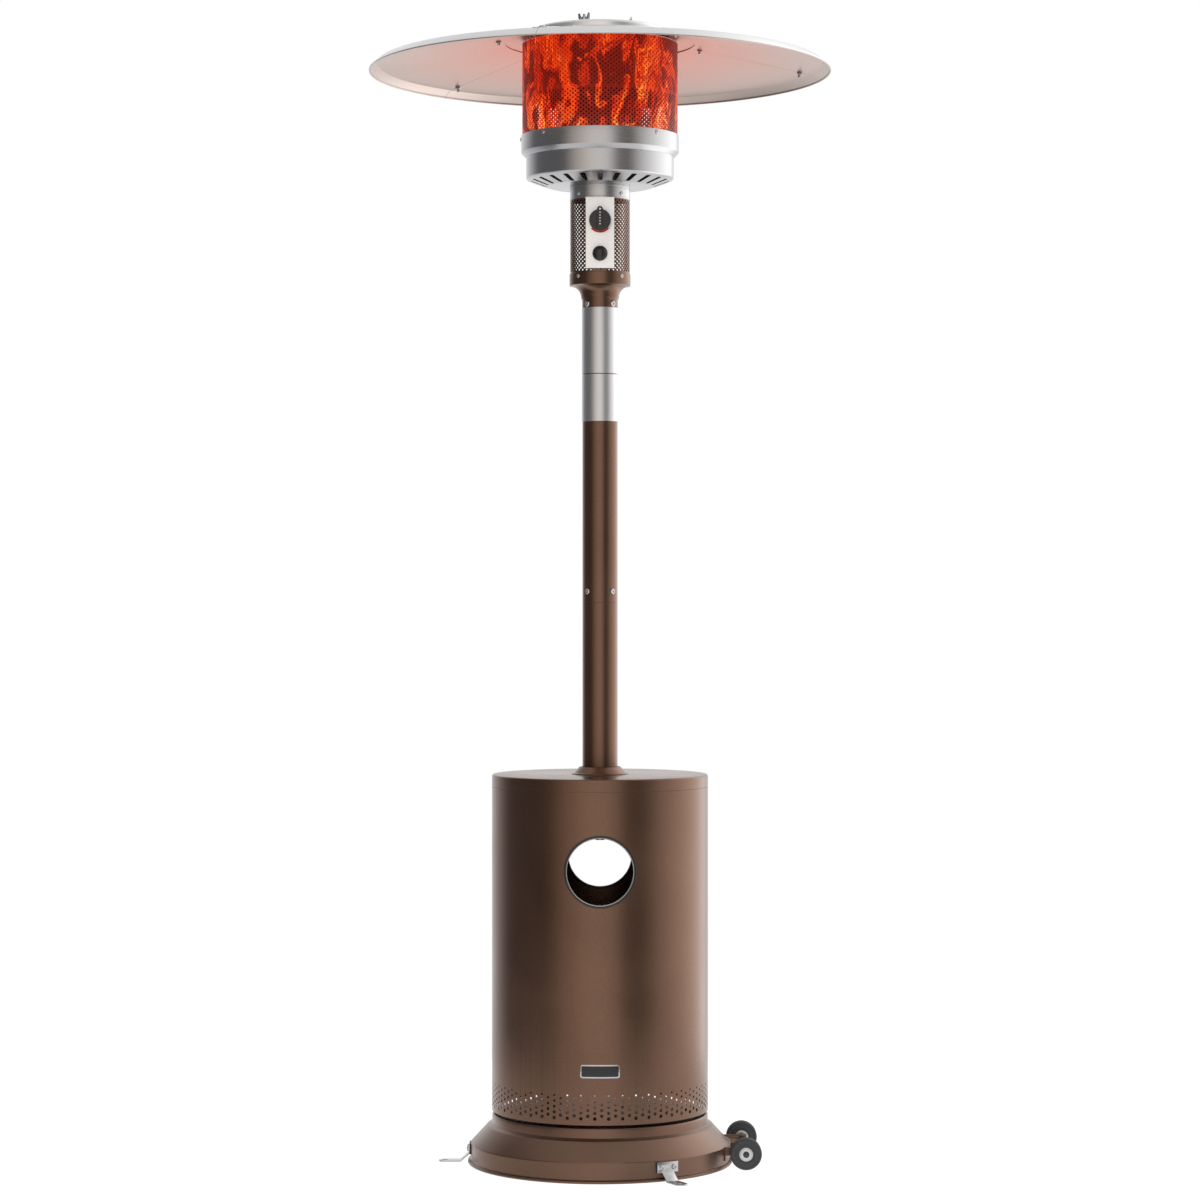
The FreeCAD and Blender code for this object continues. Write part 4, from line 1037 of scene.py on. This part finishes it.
class HEATER_OT_housing(bpy.types.Operator):
    """Tank housing with its vents, hand holes, grommets and blank name plate"""

    bl_idname = "heater.housing"
    bl_label = "Tank housing"

    def execute(self, context):
        self.wall = radius_of("housing_shell")
        low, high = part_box("hand_hole_rims")
        self.hole_height = (low[2] + high[2]) / 2
        self.hole_radius = high[0]
        self.shell(context.scene.heater_sheet)
        self.rims()
        self.name_plate()
        return {"FINISHED"}

    def shell(self, sheet):
        shell = perforated("housing_skin", self.wall, sheet.vent_columns, sheet.vent_rows, sheet.vent_pitch,
                           sheet.vent_first, (sheet.vent_low, sheet.vent_high), span_of("housing_shell"), 12,
                           "bronze_paint", short=True)
        thickened(shell, 1.2 * MM)
        moved(shell, turn(math.pi / 2 / sheet.vent_columns))
        cutter = sheet_cylinder("hand_hole_cutter", self.hole_radius, self.wall * 2.4, turn(QUARTER_TURN, "X"),
                                shift(0.0, 0.0, self.hole_height))
        fit(cut_by(shell, cutter), HOUSING, "bronze_paint", "housing_shell")

    def ring_on_wall(self, bm, outline, side, segments=96):
        """A closed ring round a hand hole. The outline is (distance from the hole's centre, stand-off)."""
        rings = []
        for step in range(segments):
            angle = math.tau * step / segments
            ring = []
            for reach, off in outline:
                x = reach * math.cos(angle)
                y = side * math.sqrt((self.wall + off) ** 2 - x ** 2)
                ring.append(bm.verts.new((x, y, self.hole_height + reach * math.sin(angle))))
            rings.append(ring)
        for step, ring in enumerate(rings):
            following = rings[(step + 1) % segments]
            for index in range(len(outline)):
                after = (index + 1) % len(outline)
                bm.faces.new([ring[index], ring[after], following[after], following[index]])

    def rims(self):
        """Dark grommets with a thin bright lip on their inner edge."""
        outer = self.hole_radius / MM
        shapes = {
            "hand_hole_grommets": ([(outer - 3.2, -2.6, 0.4), (outer - 3.2, 0.6, 0.5), (outer + 0.4, 0.9, 0.5),
                                    (outer + 0.4, 0.05, 0.2), (outer - 0.1, 0.0), (outer - 0.1, -2.6, 0.3)],
                                   "black_plastic"),
            "hand_hole_lips": ([(outer - 5.0, -2.6, 0.5), (outer - 5.0, 1.3, 0.8), (outer - 3.2, 1.3, 0.7),
                                (outer - 3.2, -2.6, 0.4)], "rim_lining"),
        }
        for name, (points, material) in shapes.items():
            bm = bmesh.new()
            for side in (-1, 1):
                self.ring_on_wall(bm, rounded(mm(points), 3), side)
            bmesh.ops.recalc_face_normals(bm, faces=bm.faces)
            fit(to_object(name, bm), HOUSING, "rim_lining", "hand_hole_rims", material=material)

    def name_plate(self):
        """A blank plate: a bright rounded frame with a black field a hair above it."""
        low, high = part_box("name_plate")
        centre = (low[2] + high[2]) / 2
        half = ((high[0] - low[0]) / 2, (high[2] - low[2]) / 2)
        border = 2.3 * MM
        frame_piece = self.plate("name_plate_frame", half, centre, 4.5 * MM, 0.0, 0.7 * MM)
        fit(frame_piece, HOUSING, "plate_black", "name_plate", material="bright_steel")
        inner = (half[0] - border, half[1] - border)
        field = self.plate("name_plate_field", inner, centre, 2.4 * MM, 0.1 * MM, 0.82 * MM)
        fit(field, HOUSING, "plate_black", "name_plate")

    def plate(self, name, half, centre, corner, low, high, columns=36):
        """A rounded rectangle that follows the round wall between two stand-offs."""
        steps = [-1.0 + 2.0 * index / columns for index in range(columns + 1)]
        widths = [half[0] * math.sin(step * math.pi / 2) for step in steps]
        bm = bmesh.new()
        rows = []
        for x in widths:
            inside = max(0.0, abs(x) - (half[0] - corner))
            tall = half[1] - corner + math.sqrt(max(corner ** 2 - inside ** 2, (0.05 * corner) ** 2))
            row = []
            for off, up in ((low, -tall), (high, -tall), (high, tall), (low, tall)):
                row.append(bm.verts.new((x, -math.sqrt((self.wall + off) ** 2 - x ** 2), centre + up)))
            rows.append(row)
        for first, second in zip(rows, rows[1:]):
            for index in range(4):
                after = (index + 1) % 4
                bm.faces.new([first[index], second[index], second[after], first[after]])
        bm.faces.new(rows[0])
        bm.faces.new(rows[-1])
        bmesh.ops.recalc_face_normals(bm, faces=bm.faces)
        return bevelled(to_object(name, bm), 0.15 * MM)


class HEATER_OT_table(bpy.types.Operator):
    """Table top lid and the collar round the pole"""

    bl_idname = "heater.table"
    bl_label = "Table top"

    def execute(self, context):
        outer = radius_mm("table_top")
        skirt, top = span_mm("table_top")
        seam = span_mm("housing_shell")[1]
        bore = 34.4
        points = mm([
            (bore, top - 1.5), (outer - 2.9, top - 1.5, 1.5), (outer - 2.9, skirt), (outer - 1.4, skirt),
            (outer - 1.4, seam + 0.15), (outer, seam + 0.15, 0.5), (outer, top, 3.2), (bore, top)])
        fit(lathe("table_lid", points, ROUND + 32), HOUSING, "bronze_paint", "table_top")
        foot = radius_mm("table_collar")
        tall = span_mm("table_collar")[1]
        points = mm([(bore, top), (foot, top, 0.3), (foot, top + 1.6, 1.0), (foot - 4, top + 2.2, 2.5),
                     (bore + 2.0, tall, 1.0), (bore, tall, 0.5)])
        fit(lathe("table_collar_skin", points, 96), HOUSING, "bronze_paint", "table_collar")
        return {"FINISHED"}


# ---------------------------------------------------------------- head


class HEATER_OT_head(bpy.types.Operator):
    """Head cup, perforated guard, neck collar and all the head's screws"""

    bl_idname = "heater.head"
    bl_label = "Head"

    def execute(self, context):
        self.cup()
        self.guard(context.scene.heater_sheet)
        self.neck()
        self.screws()
        return {"FINISHED"}

    def cup(self):
        """Neck, trumpet flare and band, turned from one wall."""
        low, high = span_mm("head_cup")
        pole_top = span_mm("pole_upper")[1]
        band = 53.9
        foot = pole_top + 18.5
        flare = band - 33.5
        outside = mm([(27.4, low), (29.4, low), (29.4, pole_top), (31.5, pole_top, 0.6), (31.5, foot - 5, 3.0),
                      (33.5, foot, 0.8)])
        outer_flare = mm(arc((band, foot), flare, 180, 90, 14)[1:])
        band_top = mm([(band, foot + flare + 0.3, 0.5), (band, high, 0.6), (band - 2, high, 0.4)])
        inner_flare = mm(arc((band, foot), flare + 2, 95, 180, 14))
        points = outside + outer_flare[:-1] + band_top + inner_flare + mm([(27.4, foot - 5)])
        fit(lathe("head_cup_skin", points, 112), STAND, "bronze_paint", "head_cup")

    def guard(self, sheet):
        low, high = span_of("control_guard")
        rows = int((high - low - 6 * MM) / sheet.guard_pitch)
        hole = sheet.guard_hole
        skin = perforated("guard_skin", radius_of("control_guard"), sheet.guard_columns, rows,
                          sheet.guard_pitch, low + 4.5 * MM, (hole, hole), (low, high), 8, "bronze_paint")
        thickened(skin, 1.2 * MM)
        panel_low, panel_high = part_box("control_panel")
        inset = 4 * MM
        window = block("guard_window", (panel_low[0] + inset, panel_low[1], panel_low[2] + inset),
                       (panel_high[0] - inset, -0.03, panel_high[2] - inset))
        fit(cut_by(skin, window), STAND, "bronze_paint", "control_guard")

    def neck(self):
        """Plain stainless ring between the guard and the bowl, with a rolled bead at each edge."""
        low, high = span_mm("neck_collar")
        outer = radius_mm("neck_collar")
        points = mm([(outer - 0.9, low), (outer, low, 0.3), (outer, low + 2.4, 0.2),
                     (outer - 0.4, low + 3, 0.2), (outer - 0.4, high - 3, 0.2), (outer, high - 2.4, 0.2),
                     (outer, high), (outer - 0.9, high)])
        fit(lathe("neck_ring", points, 112), STAND, "stainless", "neck_collar")

    def screws(self):
        """Rows of (wall radius, height, head radius, rise, count)."""
        cup_top = span_of("head_cup")[1]
        pole_top = span_of("pole_upper")[1]
        neck_low = span_of("neck_collar")[0]
        burner_top = span_of("burner_collar")[1]
        rows = (("neck", 31.5 * MM, pole_top + 6.2 * MM, 5.6 * MM, 3.0 * MM),
                ("band", 53.9 * MM, cup_top - 6.3 * MM, 3.6 * MM, 2.0 * MM),
                ("throat", radius_of("neck_collar"), neck_low + 8.5 * MM, 3.6 * MM, 2.0 * MM),
                ("burner", radius_of("burner_collar"), burner_top - 6 * MM, 3.6 * MM, 2.0 * MM))
        pieces = [screw_ring(f"{name}_screw", wall - 0.3 * MM, height, head, rise, 4)
                  for name, wall, height, head, rise in rows]
        back = screw("burner_screw_left", 3.6 * MM, 2.0 * MM, 1.5 * MM, 4 * MM)
        facing_out(back, radius_of("burner_collar") - 0.3 * MM, burner_top - 6 * MM)
        pieces.append(ring_of(back, 1, math.pi))
        fit(joined("head_screw_heads", pieces), STAND, "bright_steel", "head_screws")


# ---------------------------------------------------------------- controls


class HEATER_OT_controls(bpy.types.Operator):
    """Control panel, knob, igniter button and what is behind them"""

    bl_idname = "heater.controls"
    bl_label = "Controls"

    def execute(self, context):
        low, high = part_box("control_knob")
        stem_low, stem_high = span_of("valve_stem")
        self.knob_height = stem_low + (stem_high - stem_low) / 2
        self.knob_back = high[1]
        self.knob_face = low[1]
        self.panel_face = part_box("control_panel")[0][1]
        self.panel()
        self.knob()
        self.button()
        paint_nodes(gas_valve="brass", valve_stem="brass", gas_inlet_union="brass", gas_supply_tube="gas_pipe",
                    igniter_unit="black_plastic", tilt_switch="black_plastic")
        return {"FINISHED"}

    def facing_front(self, piece, y, height):
        """Turns a piece made on Z to point along -Y."""
        return moved(piece, shift(0.0, y, height) @ turn(QUARTER_TURN, "X"))

    def panel(self):
        skin = from_frame("control_panel", bevel=1.1 * MM, segments=3)
        fit(skin, STAND, "panel_paint", "control_panel")
        points = mm([(17.0, 0.0), (21.4, 0.0), (21.4, 0.14), (17.0, 0.14)])
        mark = lathe("heat_scale", points, 40, start=math.radians(222), sweep=math.radians(96))
        self.facing_front(mark, self.panel_face, self.knob_height)
        fit(mark, STAND, "panel_paint", material="print_red")

    def bore(self):
        """The blind hole the stem slides in as the knob is pushed."""
        return lathe("knob_bore", mm([(0, -1), (4.05, -1), (4.05, 8.5), (0, 8.5)]), 48)

    def knob(self):
        """Disc with a pointer nose, a raised grip bar, and a white dot and dashes."""
        disc, nose, bar = 19.0, 5.0, 12.0
        join = math.degrees(math.acos(1 - nose ** 2 / (2 * disc ** 2)))
        outline = arc((0, 0), disc, 90 + join, 450 - join, 72)
        tip = math.degrees(math.acos(nose / (2 * disc)))
        outline += arc((0, disc), nose, tip - 90, 270 - tip, 16)[1:-1]
        depth = 7.0
        rise = (self.knob_back - self.knob_face) / MM
        base = cut_by(bevelled(prism("knob_disc", mm(outline), 0.0, depth * MM), 0.9 * MM, 3), self.bore())
        half = bar / 2
        grip = rounded([(-half, -17, 5.0), (half, -17, 5.0), (half, 17, 5.0), (-half, 17, 5.0)], 8)
        handle = bevelled(prism("knob_grip", mm(grip), (depth - 1.5) * MM, rise * MM), 1.2 * MM, 3)
        cut_by(handle, self.bore())
        knob = joined("knob_body", [base, handle])
        fit(self.facing_front(knob, self.knob_back, self.knob_height), "control_knob", "black_plastic",
            "control_knob")
        dot = lathe("knob_dot", mm([(0, 0), (1.7, 0), (1.7, 0.16), (0, 0.16)]), 24)
        moved(dot, shift(0.0, disc * MM, depth * MM))
        bm = bmesh.new()
        for low in (-8.4, -3.4, 1.6, 6.6, 11.6):
            dash = mm([(-0.8, low), (0.8, low), (0.8, low + 2.0), (-0.8, low + 2.0)])
            slab(bm, dash, rise * MM, (rise + 0.14) * MM)
        marks = joined("knob_marks", [dot, to_object("knob_dashes", bm)])
        fit(self.facing_front(marks, self.knob_back, self.knob_height), "control_knob", "black_plastic",
            material="print_white")

    def button(self):
        """Domed button in a black bezel."""
        low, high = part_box("igniter_button")
        height = (low[2] + high[2]) / 2
        points = mm([(0, 0), (5, 0, 0.5), (5, 14), (12, 14, 0.3), (12, 22.2, 2.2)])
        dome = [(point[0] * MM, point[1] * MM) for point in arc((0, 10.1), 16.9, 48, 90, 10)]
        points = points[:-1] + mm([(12, 22.0, 0.6)]) + dome[:-1] + [(0, 27 * MM)]
        button = lathe("igniter_cap", points, 64)
        fit(self.facing_front(button, high[1], height), "igniter_button", "black_plastic", "igniter_button")
        bezel = lathe("igniter_bezel", mm([(12.2, -1.0), (13.2, -0.2), (13.2, 1.0, 0.6), (12.2, 1.6, 0.4)]), 64)
        fit(self.facing_front(bezel, self.panel_face, height), STAND, "black_plastic")


# ---------------------------------------------------------------- burner and emitter


class HEATER_OT_burner(bpy.types.Operator):
    """Slotted bowl, burner collar, bridge, burner and pilot"""

    bl_idname = "heater.burner"
    bl_label = "Burner"

    def execute(self, context):
        self.bowl(context.scene.heater_sheet.louvres)
        self.collar()
        fit_copies(0.4 * MM, "black_steel", "burner_bridge")
        fit_copies(0.4 * MM, "stainless", "gas_burner", "pilot_assembly")
        return {"FINISHED"}

    def bowl(self, count):
        """One sector of the bowl with its louvre, repeated round the axis."""
        floor, top = span_of("burner_bowl")
        wall = radius_of("burner_bowl")
        edge = 92 * MM
        rise = 13.7 * MM
        half = math.pi / count
        slot = math.radians(2.5)
        tip = math.radians(1.6)

        def slope(radius):
            return floor + rise * (radius - edge) / (wall - edge)

        def angles(width):
            return (-half, -half * 0.66, -width, 0.0, width, half * 0.66, half)

        rows = [(48 * MM, floor, slot), (edge - 1.5 * MM, floor, slot),
                (edge + 1.2 * MM, slope(edge + 1.2 * MM), slot)]
        rows += [(radius * MM, slope(radius * MM), width) for radius, width in
                 ((94.5, tip), (96.5, slot), (119.5, slot), (121.5, tip), (126, slot))]
        rows += [(wall - 1.3 * MM, floor + rise - 0.3 * MM, slot), (wall, floor + rise + 1.2 * MM, slot),
                 (wall, top - 12 * MM, slot), (wall, top, slot)]
        bm = bmesh.new()
        grid = [[bm.verts.new((r * math.cos(a), r * math.sin(a), z)) for a in angles(w)] for r, z, w in rows]
        opening = range(3, 6)
        for level, (low, high) in enumerate(zip(grid, grid[1:])):
            for column in range(6):
                if level in opening and column in (2, 3):
                    continue
                bm.faces.new([low[column], low[column + 1], high[column + 1], high[column]])
        self.flap(bm, [grid[level][2] for level in (3, 4, 5, 6)])
        tile = to_object("bowl_sector", bm)
        moved(tile, turn(FRONT))
        ring_of(tile, count, 0.0, "stainless")
        face_outwards(tile, under=1.0, weld=2e-5)
        thickened(tile, 1.0 * MM)
        smooth(tile.data, 32.0)
        tile.name = "bowl_skin"
        fit(tile, STAND, "stainless", "burner_bowl")

    def flap(self, bm, edge):
        """The tongue of the louvre, bent up into the bowl from one long edge of the slot."""
        lean = Matrix.Rotation(math.radians(-1.2), 3, "Z")
        inner = [bm.verts.new(lean @ vertex.co + Vector((0, 0, 3.0 * MM))) for vertex in edge]
        for index in range(len(edge) - 1):
            bm.faces.new([edge[index], edge[index + 1], inner[index + 1], inner[index]])

    def collar(self):
        """Bevel, wall and rolled top edge of the upper tier."""
        low, high = span_mm("burner_collar")
        outer = radius_mm("burner_collar")
        points = mm([(outer - 11.9, low), (outer - 8.4, low, 0.5), (outer, low + 8.3, 1.8), (outer, high, 0.6),
                     (outer - 1.2, high, 0.4), (outer - 1.2, low + 9, 1.2), (outer - 9, low + 1.3, 0.4),
                     (outer - 11.9, low + 1.2)])
        fit(lathe("burner_collar_skin", points, ROUND + 32), STAND, "stainless", "burner_collar")


class HEATER_OT_emitter(bpy.types.Operator):
    """Perforated emitter screen, the glowing screen inside it and its cap"""

    bl_idname = "heater.emitter"
    bl_label = "Emitter"

    def execute(self, context):
        sheet = context.scene.heater_sheet
        low, high = span_of("emitter_screen")
        split = span_of("inner_screen")[0] + 2 * MM
        collar_top = span_of("burner_collar")[1]
        hole = sheet.screen_hole
        for name, first, edges in (("screen_lower", collar_top + 2 * MM, (low, split)),
                                   ("screen_upper", split + sheet.screen_pitch / 2, (split, high))):
            rows = int((edges[1] - first) / sheet.screen_pitch)
            skin = perforated(name, radius_of("emitter_screen"), sheet.screen_columns, rows, sheet.screen_pitch,
                              first, (hole, hole), edges, 8, "hot_screen")
            thickened(skin, 0.6 * MM)
            smooth(skin.data, 40.0)
            fit(skin, STAND, "stainless", "emitter_screen", material="hot_screen")
        low, high = span_of("inner_screen")
        outer = radius_of("inner_screen")
        points = [(outer - 1 * MM, low), (outer, low, 0.3 * MM), (outer, high), (outer - 1 * MM, high)]
        fit(lathe("flame_screen", points, ROUND), STAND, "stainless", "inner_screen", material="flame_wall")
        low, high = span_of("emitter_cap")
        outer = radius_of("emitter_cap")
        points = [(0, low), (outer, low, 0.3 * MM), (outer, high, 0.5 * MM), (0, high)]
        fit(lathe("emitter_lid", points, ROUND), STAND, "stainless", "emitter_cap")
        return {"FINISHED"}


# ---------------------------------------------------------------- reflector


class HEATER_OT_reflector(bpy.types.Operator):
    """Three reflector panels, the centre disc, seam straps, bolts, studs and wing nuts"""

    bl_idname = "heater.reflector"
    bl_label = "Reflector"

    def execute(self, context):
        disc_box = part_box("reflector_disc")
        self.rim = max(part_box(f"reflector_panel_{number}")[1][0] for number in (1, 2, 3)) / MM
        self.lip = span_mm("reflector_panel_1")[0]
        self.inner_top = span_mm("reflector_panel_1")[1]
        self.disc = disc_box[1][0] / MM
        self.dome_top = disc_box[1][2] / MM
        self.crease = self.rim - 15
        self.crease_top = self.lip + 14.6
        self.inner = self.disc - 35
        self.slope = (self.inner_top - self.crease_top) / (self.crease - self.inner)
        self.panels()
        self.centre()
        fit_copies(0.25 * MM, "reflector_aluminium", "seam_straps")
        self.bolts()
        self.studs()
        return {"FINISHED"}

    def top_at(self, radius):
        return self.crease_top + (self.crease - radius) * self.slope

    def panels(self):
        """A cone with a pressed step near the disc, turned down to a rolled lip."""
        step = self.disc + 1.5
        points = mm([
            (self.inner, self.top_at(self.inner) - 1.0), (step, self.top_at(step) - 1.9, 0.8),
            (step + 2.5, self.top_at(step + 2.5) - 1.0, 0.8),
            (self.crease - 0.5, self.crease_top - 1.0, 2.0), (self.rim - 2.8, self.lip + 3.2, 0.8),
            (self.rim - 2.8, self.lip, 1.2), (self.rim, self.lip, 1.2), (self.rim, self.lip + 2.2, 1.2),
            (self.crease, self.crease_top, 3.0), (step + 2.5, self.top_at(step + 2.5), 0.8),
            (step, self.top_at(step) - 0.9, 0.8), (self.inner, self.top_at(self.inner) - 0.1)])
        sweep = math.tau / 3 - SEAM_GAP
        for number, seam in enumerate(SEAMS, start=1):
            start = seam + SEAM_GAP / 2
            panel = lathe(f"reflector_sheet_{number}", points, 72, 4, start, sweep, sharp=30.0)
            fit(panel, STAND, "reflector_aluminium", f"reflector_panel_{number}")

    def centre(self):
        """Disc pressed up to a dome with a flat top."""
        dome, flat, crown = 123.0, 70.0, self.dome_top
        edge, foot = crown - 8, crown - 20
        outer = mm([(self.disc, self.top_at(self.disc) + 0.1), (self.disc, self.top_at(self.disc) + 1.1, 0.4),
                    (self.inner, self.top_at(self.inner) + 1.6, 3.0), (dome, foot, 5.0),
                    (dome - 1, edge, 7.0), (flat, crown, 30.0), (0, crown)])
        inner = mm([(0, crown - 1), (flat, crown - 1, 30.0), (dome - 2, edge - 1, 6.0),
                    (dome - 1, foot - 1, 6.0), (self.inner, self.top_at(self.inner) + 0.6, 3.0)])
        fit(lathe("centre_disc", outer + inner, ROUND + 32, 8), STAND, "reflector_aluminium", "reflector_disc")

    def bolt(self, name, depth, drop):
        """Round-head bolt with a hexagon nut under the sheet."""
        head, nut, shank = 5.0, 4.9, 2.4
        points = [(0, -depth, 0), (shank, -depth, 0.6), (shank, -drop), (nut, -drop, 0.4),
                  (nut, -drop + 3.4, 0.4), (shank, -drop + 3.4), (shank, -0.2), (head, 0, 0.3),
                  (head, 1.4, 1.2), (head * 0.6, 2.6, 1.0), (0, 2.6)]
        return lathe(name, mm(points), 30, 3, hex_radius=nut * MM)

    def bolts(self):
        tilt = math.atan(self.slope)
        pieces = []
        for name, radius, lift, depth, drop, count in (("seam_bolt", 372.0, 1.1, 12.0, 6.0, 3),
                                                       ("disc_bolt", 185.0, 1.4, 10.0, 5.6, 6)):
            piece = self.bolt(name, depth, drop)
            moved(piece, shift(radius * MM, 0, (self.top_at(radius) + lift) * MM) @ turn(tilt, "Y"))
            pieces.append(ring_of(piece, count, SEAMS[0]))
        fit(joined("reflector_bolt_set", pieces), STAND, "bright_steel", "reflector_bolts")

    def studs(self):
        """Studs with spacers under the dome, and a wing nut on each."""
        low, high = span_mm("reflector_posts")
        top = self.dome_top
        thread = []
        for turn_number in range(9):
            base = top + 0.5 + turn_number * 1.2
            thread += [(3.0, base), (2.55, base + 0.6)]
        points = [(0, low), (5.5, low, 0.3), (5.5, top - 1.05, 0.3), (3.0, top - 1.05)] + thread
        points += [(2.8, high - 0.4), (0, high)]
        stud = moved(lathe("reflector_stud", mm(points), 32, 3), shift(55 * MM, 0, 0))
        fit(ring_of(stud, 3), STAND, "bright_steel", "reflector_posts")
        points = mm([(3.05, top), (6.0, top, 0.4), (5.0, top + 9, 0.8), (3.05, top + 9)])
        boss = lathe("wing_boss", points, 32, 3)
        wings = [self.wing(side) for side in (-1, 1)]
        nut = joined("wing_nut_set", [boss] + wings)
        moved(nut, shift(55 * MM, 0, 0))
        fit(ring_of(nut, 3), STAND, "bright_steel", "wing_nuts")

    def wing(self, side):
        """One ear of a wing nut: a rounded leaf that leans outwards."""
        leaf = rounded([(4.4, 0.8, 0.8), (11.0, 5.4, 3.0), (12.5, 16.0, 2.6), (8.2, 15.6, 1.8),
                        (5.0, 8.0, 1.6)], 5)
        piece = bevelled(prism(f"wing_{side}", mm(leaf), -1.2 * MM, 1.2 * MM), 0.45 * MM, 2)
        upright = Matrix(((0, 0, 1, 0), (side, 0, 0, 0), (0, 1, 0, self.dome_top * MM), (0, 0, 0, 1)))
        moved(piece, upright)
        if side < 0:
            piece.data.flip_normals()
        return piece


# ---------------------------------------------------------------- stage


class HEATER_OT_stage(bpy.types.Operator):
    """Pale floor, white backdrop, soft lights and a level camera"""

    bl_idname = "heater.stage"
    bl_label = "Stage"

    def execute(self, context):
        settings = context.scene.heater_stage
        self.floor()
        self.world(context.scene, settings)
        self.lights(settings)
        self.camera(context.scene, settings)
        return {"FINISHED"}

    def floor(self):
        bm = bmesh.new()
        revolve(bm, [(0.0, -0.4 * MM), (1.3, -0.4 * MM)], 96, closed=False)
        floor = to_object("studio_floor", bm)
        f = Finish("floor")
        grain = f.noise(f.place, 40.0, 2.0)
        base = f.mix(grain, (0.10, 0.10, 0.10, 1.0), (0.12, 0.12, 0.12, 1.0))
        white = (1.0, 1.0, 1.0, 1.0)
        floor.data.materials.append(f.surface(base_color=base, roughness=0.95, emission_color=white,
                                              emission_strength=1.0))

    def world(self, scene, settings):
        """A painted studio: soft boxes in front and on the right, dark between them, white behind."""
        world = bpy.data.worlds.new("studio")
        world.use_nodes = True
        nodes = Nodes(world.node_tree)
        nodes.tree.nodes.clear()
        nodes.add("ShaderNodeTexCoord")
        nodes.add("ShaderNodeSeparateXYZ", None, {"Vector": nodes.pick("Generated")})
        across, depth, height = nodes.pick("X"), nodes.pick("Y"), nodes.pick("Z")
        bearing = across.math("ARCTAN2", depth * -1.0) / math.tau + 0.5
        stops = [((angle + 180) / 360, colour) for angle, colour in STUDIO]
        light = nodes.vector("SCALE", nodes.ramp(bearing, stops), scale=settings.studio)
        backdrop = nodes.map_range(depth, 0.80, 0.94, 0.0, 1.0)
        light = nodes.mix(backdrop, light, (settings.backdrop,) * 3 + (1.0,))
        ceiling = nodes.map_range(height, 0.62, 0.92, 0.0, 1.0)
        light = nodes.mix(ceiling, light, (settings.overhead,) * 3 + (1.0,))
        nodes.add("ShaderNodeLightPath")
        light = nodes.mix(nodes.pick("Is Camera Ray"), light, (1.0, 1.0, 1.0, 1.0))
        sky = nodes.add("ShaderNodeBackground", None, {"Color": light, "Strength": 1.0})[0]
        nodes.add("ShaderNodeOutputWorld", None, {"Surface": sky})
        scene.world = world

    def softbox(self, name, place, size, power, colour=(1.0, 1.0, 1.0)):
        light = bpy.data.lights.new(name, "AREA")
        light.shape = "RECTANGLE"
        light.size, light.size_y = size
        light.energy = power
        light.color = colour
        lamp = bpy.data.objects.new(name, light)
        lamp.location = place
        aim = Vector((0.0, 0.0, 1.05)) - Vector(place)
        lamp.rotation_euler = aim.to_track_quat("-Z", "Y").to_euler()
        lamp.visible_camera = False
        lamp.visible_glossy = False
        bpy.context.scene.collection.objects.link(lamp)

    def lights(self, settings):
        self.softbox("fill", (-0.9, -6.0, 2.6), (3.0, 2.2), settings.fill_power)

    def camera(self, scene, settings):
        data = bpy.data.cameras.new("camera")
        data.sensor_width = 36.0
        data.lens = settings.focal_length
        camera = bpy.data.objects.new("camera", data)
        camera.location = (0.0, -settings.camera_distance, settings.camera_height)
        camera.rotation_euler = (QUARTER_TURN, 0.0, 0.0)
        scene.collection.objects.link(camera)
        scene.camera = camera
        scene.view_settings.view_transform = "Standard"


# ---------------------------------------------------------------- add-on


OPERATORS = (HEATER_OT_stage, HEATER_OT_base, HEATER_OT_wheels, HEATER_OT_legs, HEATER_OT_pole,
             HEATER_OT_housing, HEATER_OT_table, HEATER_OT_head, HEATER_OT_controls, HEATER_OT_burner,
             HEATER_OT_emitter,
             HEATER_OT_reflector)


class HEATER_PT_panel(bpy.types.Panel):
    """Lists the heater's pieces and settings"""

    bl_idname = "HEATER_PT_panel"
    bl_label = "Patio Heater"
    bl_space_type = "VIEW_3D"
    bl_region_type = "UI"
    bl_category = "Heater"

    def draw(self, context):
        for operator in OPERATORS:
            self.layout.operator(operator.bl_idname)
        for settings in (context.scene.heater_finishes, context.scene.heater_sheet, context.scene.heater_stage):
            column = self.layout.column()
            for name in settings.bl_rna.properties.keys():
                if name not in ("rna_type", "name"):
                    column.prop(settings, name)


CLASSES = (HeaterFinishes, HeaterSheet, HeaterStage) + OPERATORS + (HEATER_PT_panel,)


def register():
    for cls in CLASSES:
        bpy.utils.register_class(cls)
    bpy.types.Scene.heater_finishes = bpy.props.PointerProperty(type=HeaterFinishes)
    bpy.types.Scene.heater_sheet = bpy.props.PointerProperty(type=HeaterSheet)
    bpy.types.Scene.heater_stage = bpy.props.PointerProperty(type=HeaterStage)


def unregister():
    del bpy.types.Scene.heater_stage
    del bpy.types.Scene.heater_sheet
    del bpy.types.Scene.heater_finishes
    for cls in reversed(CLASSES):
        bpy.utils.unregister_class(cls)


def main():
    register()
    for operator in OPERATORS:
        group, name = operator.bl_idname.split(".")
        getattr(getattr(bpy.ops, group), name)()


if __name__ == "__main__":
    main()
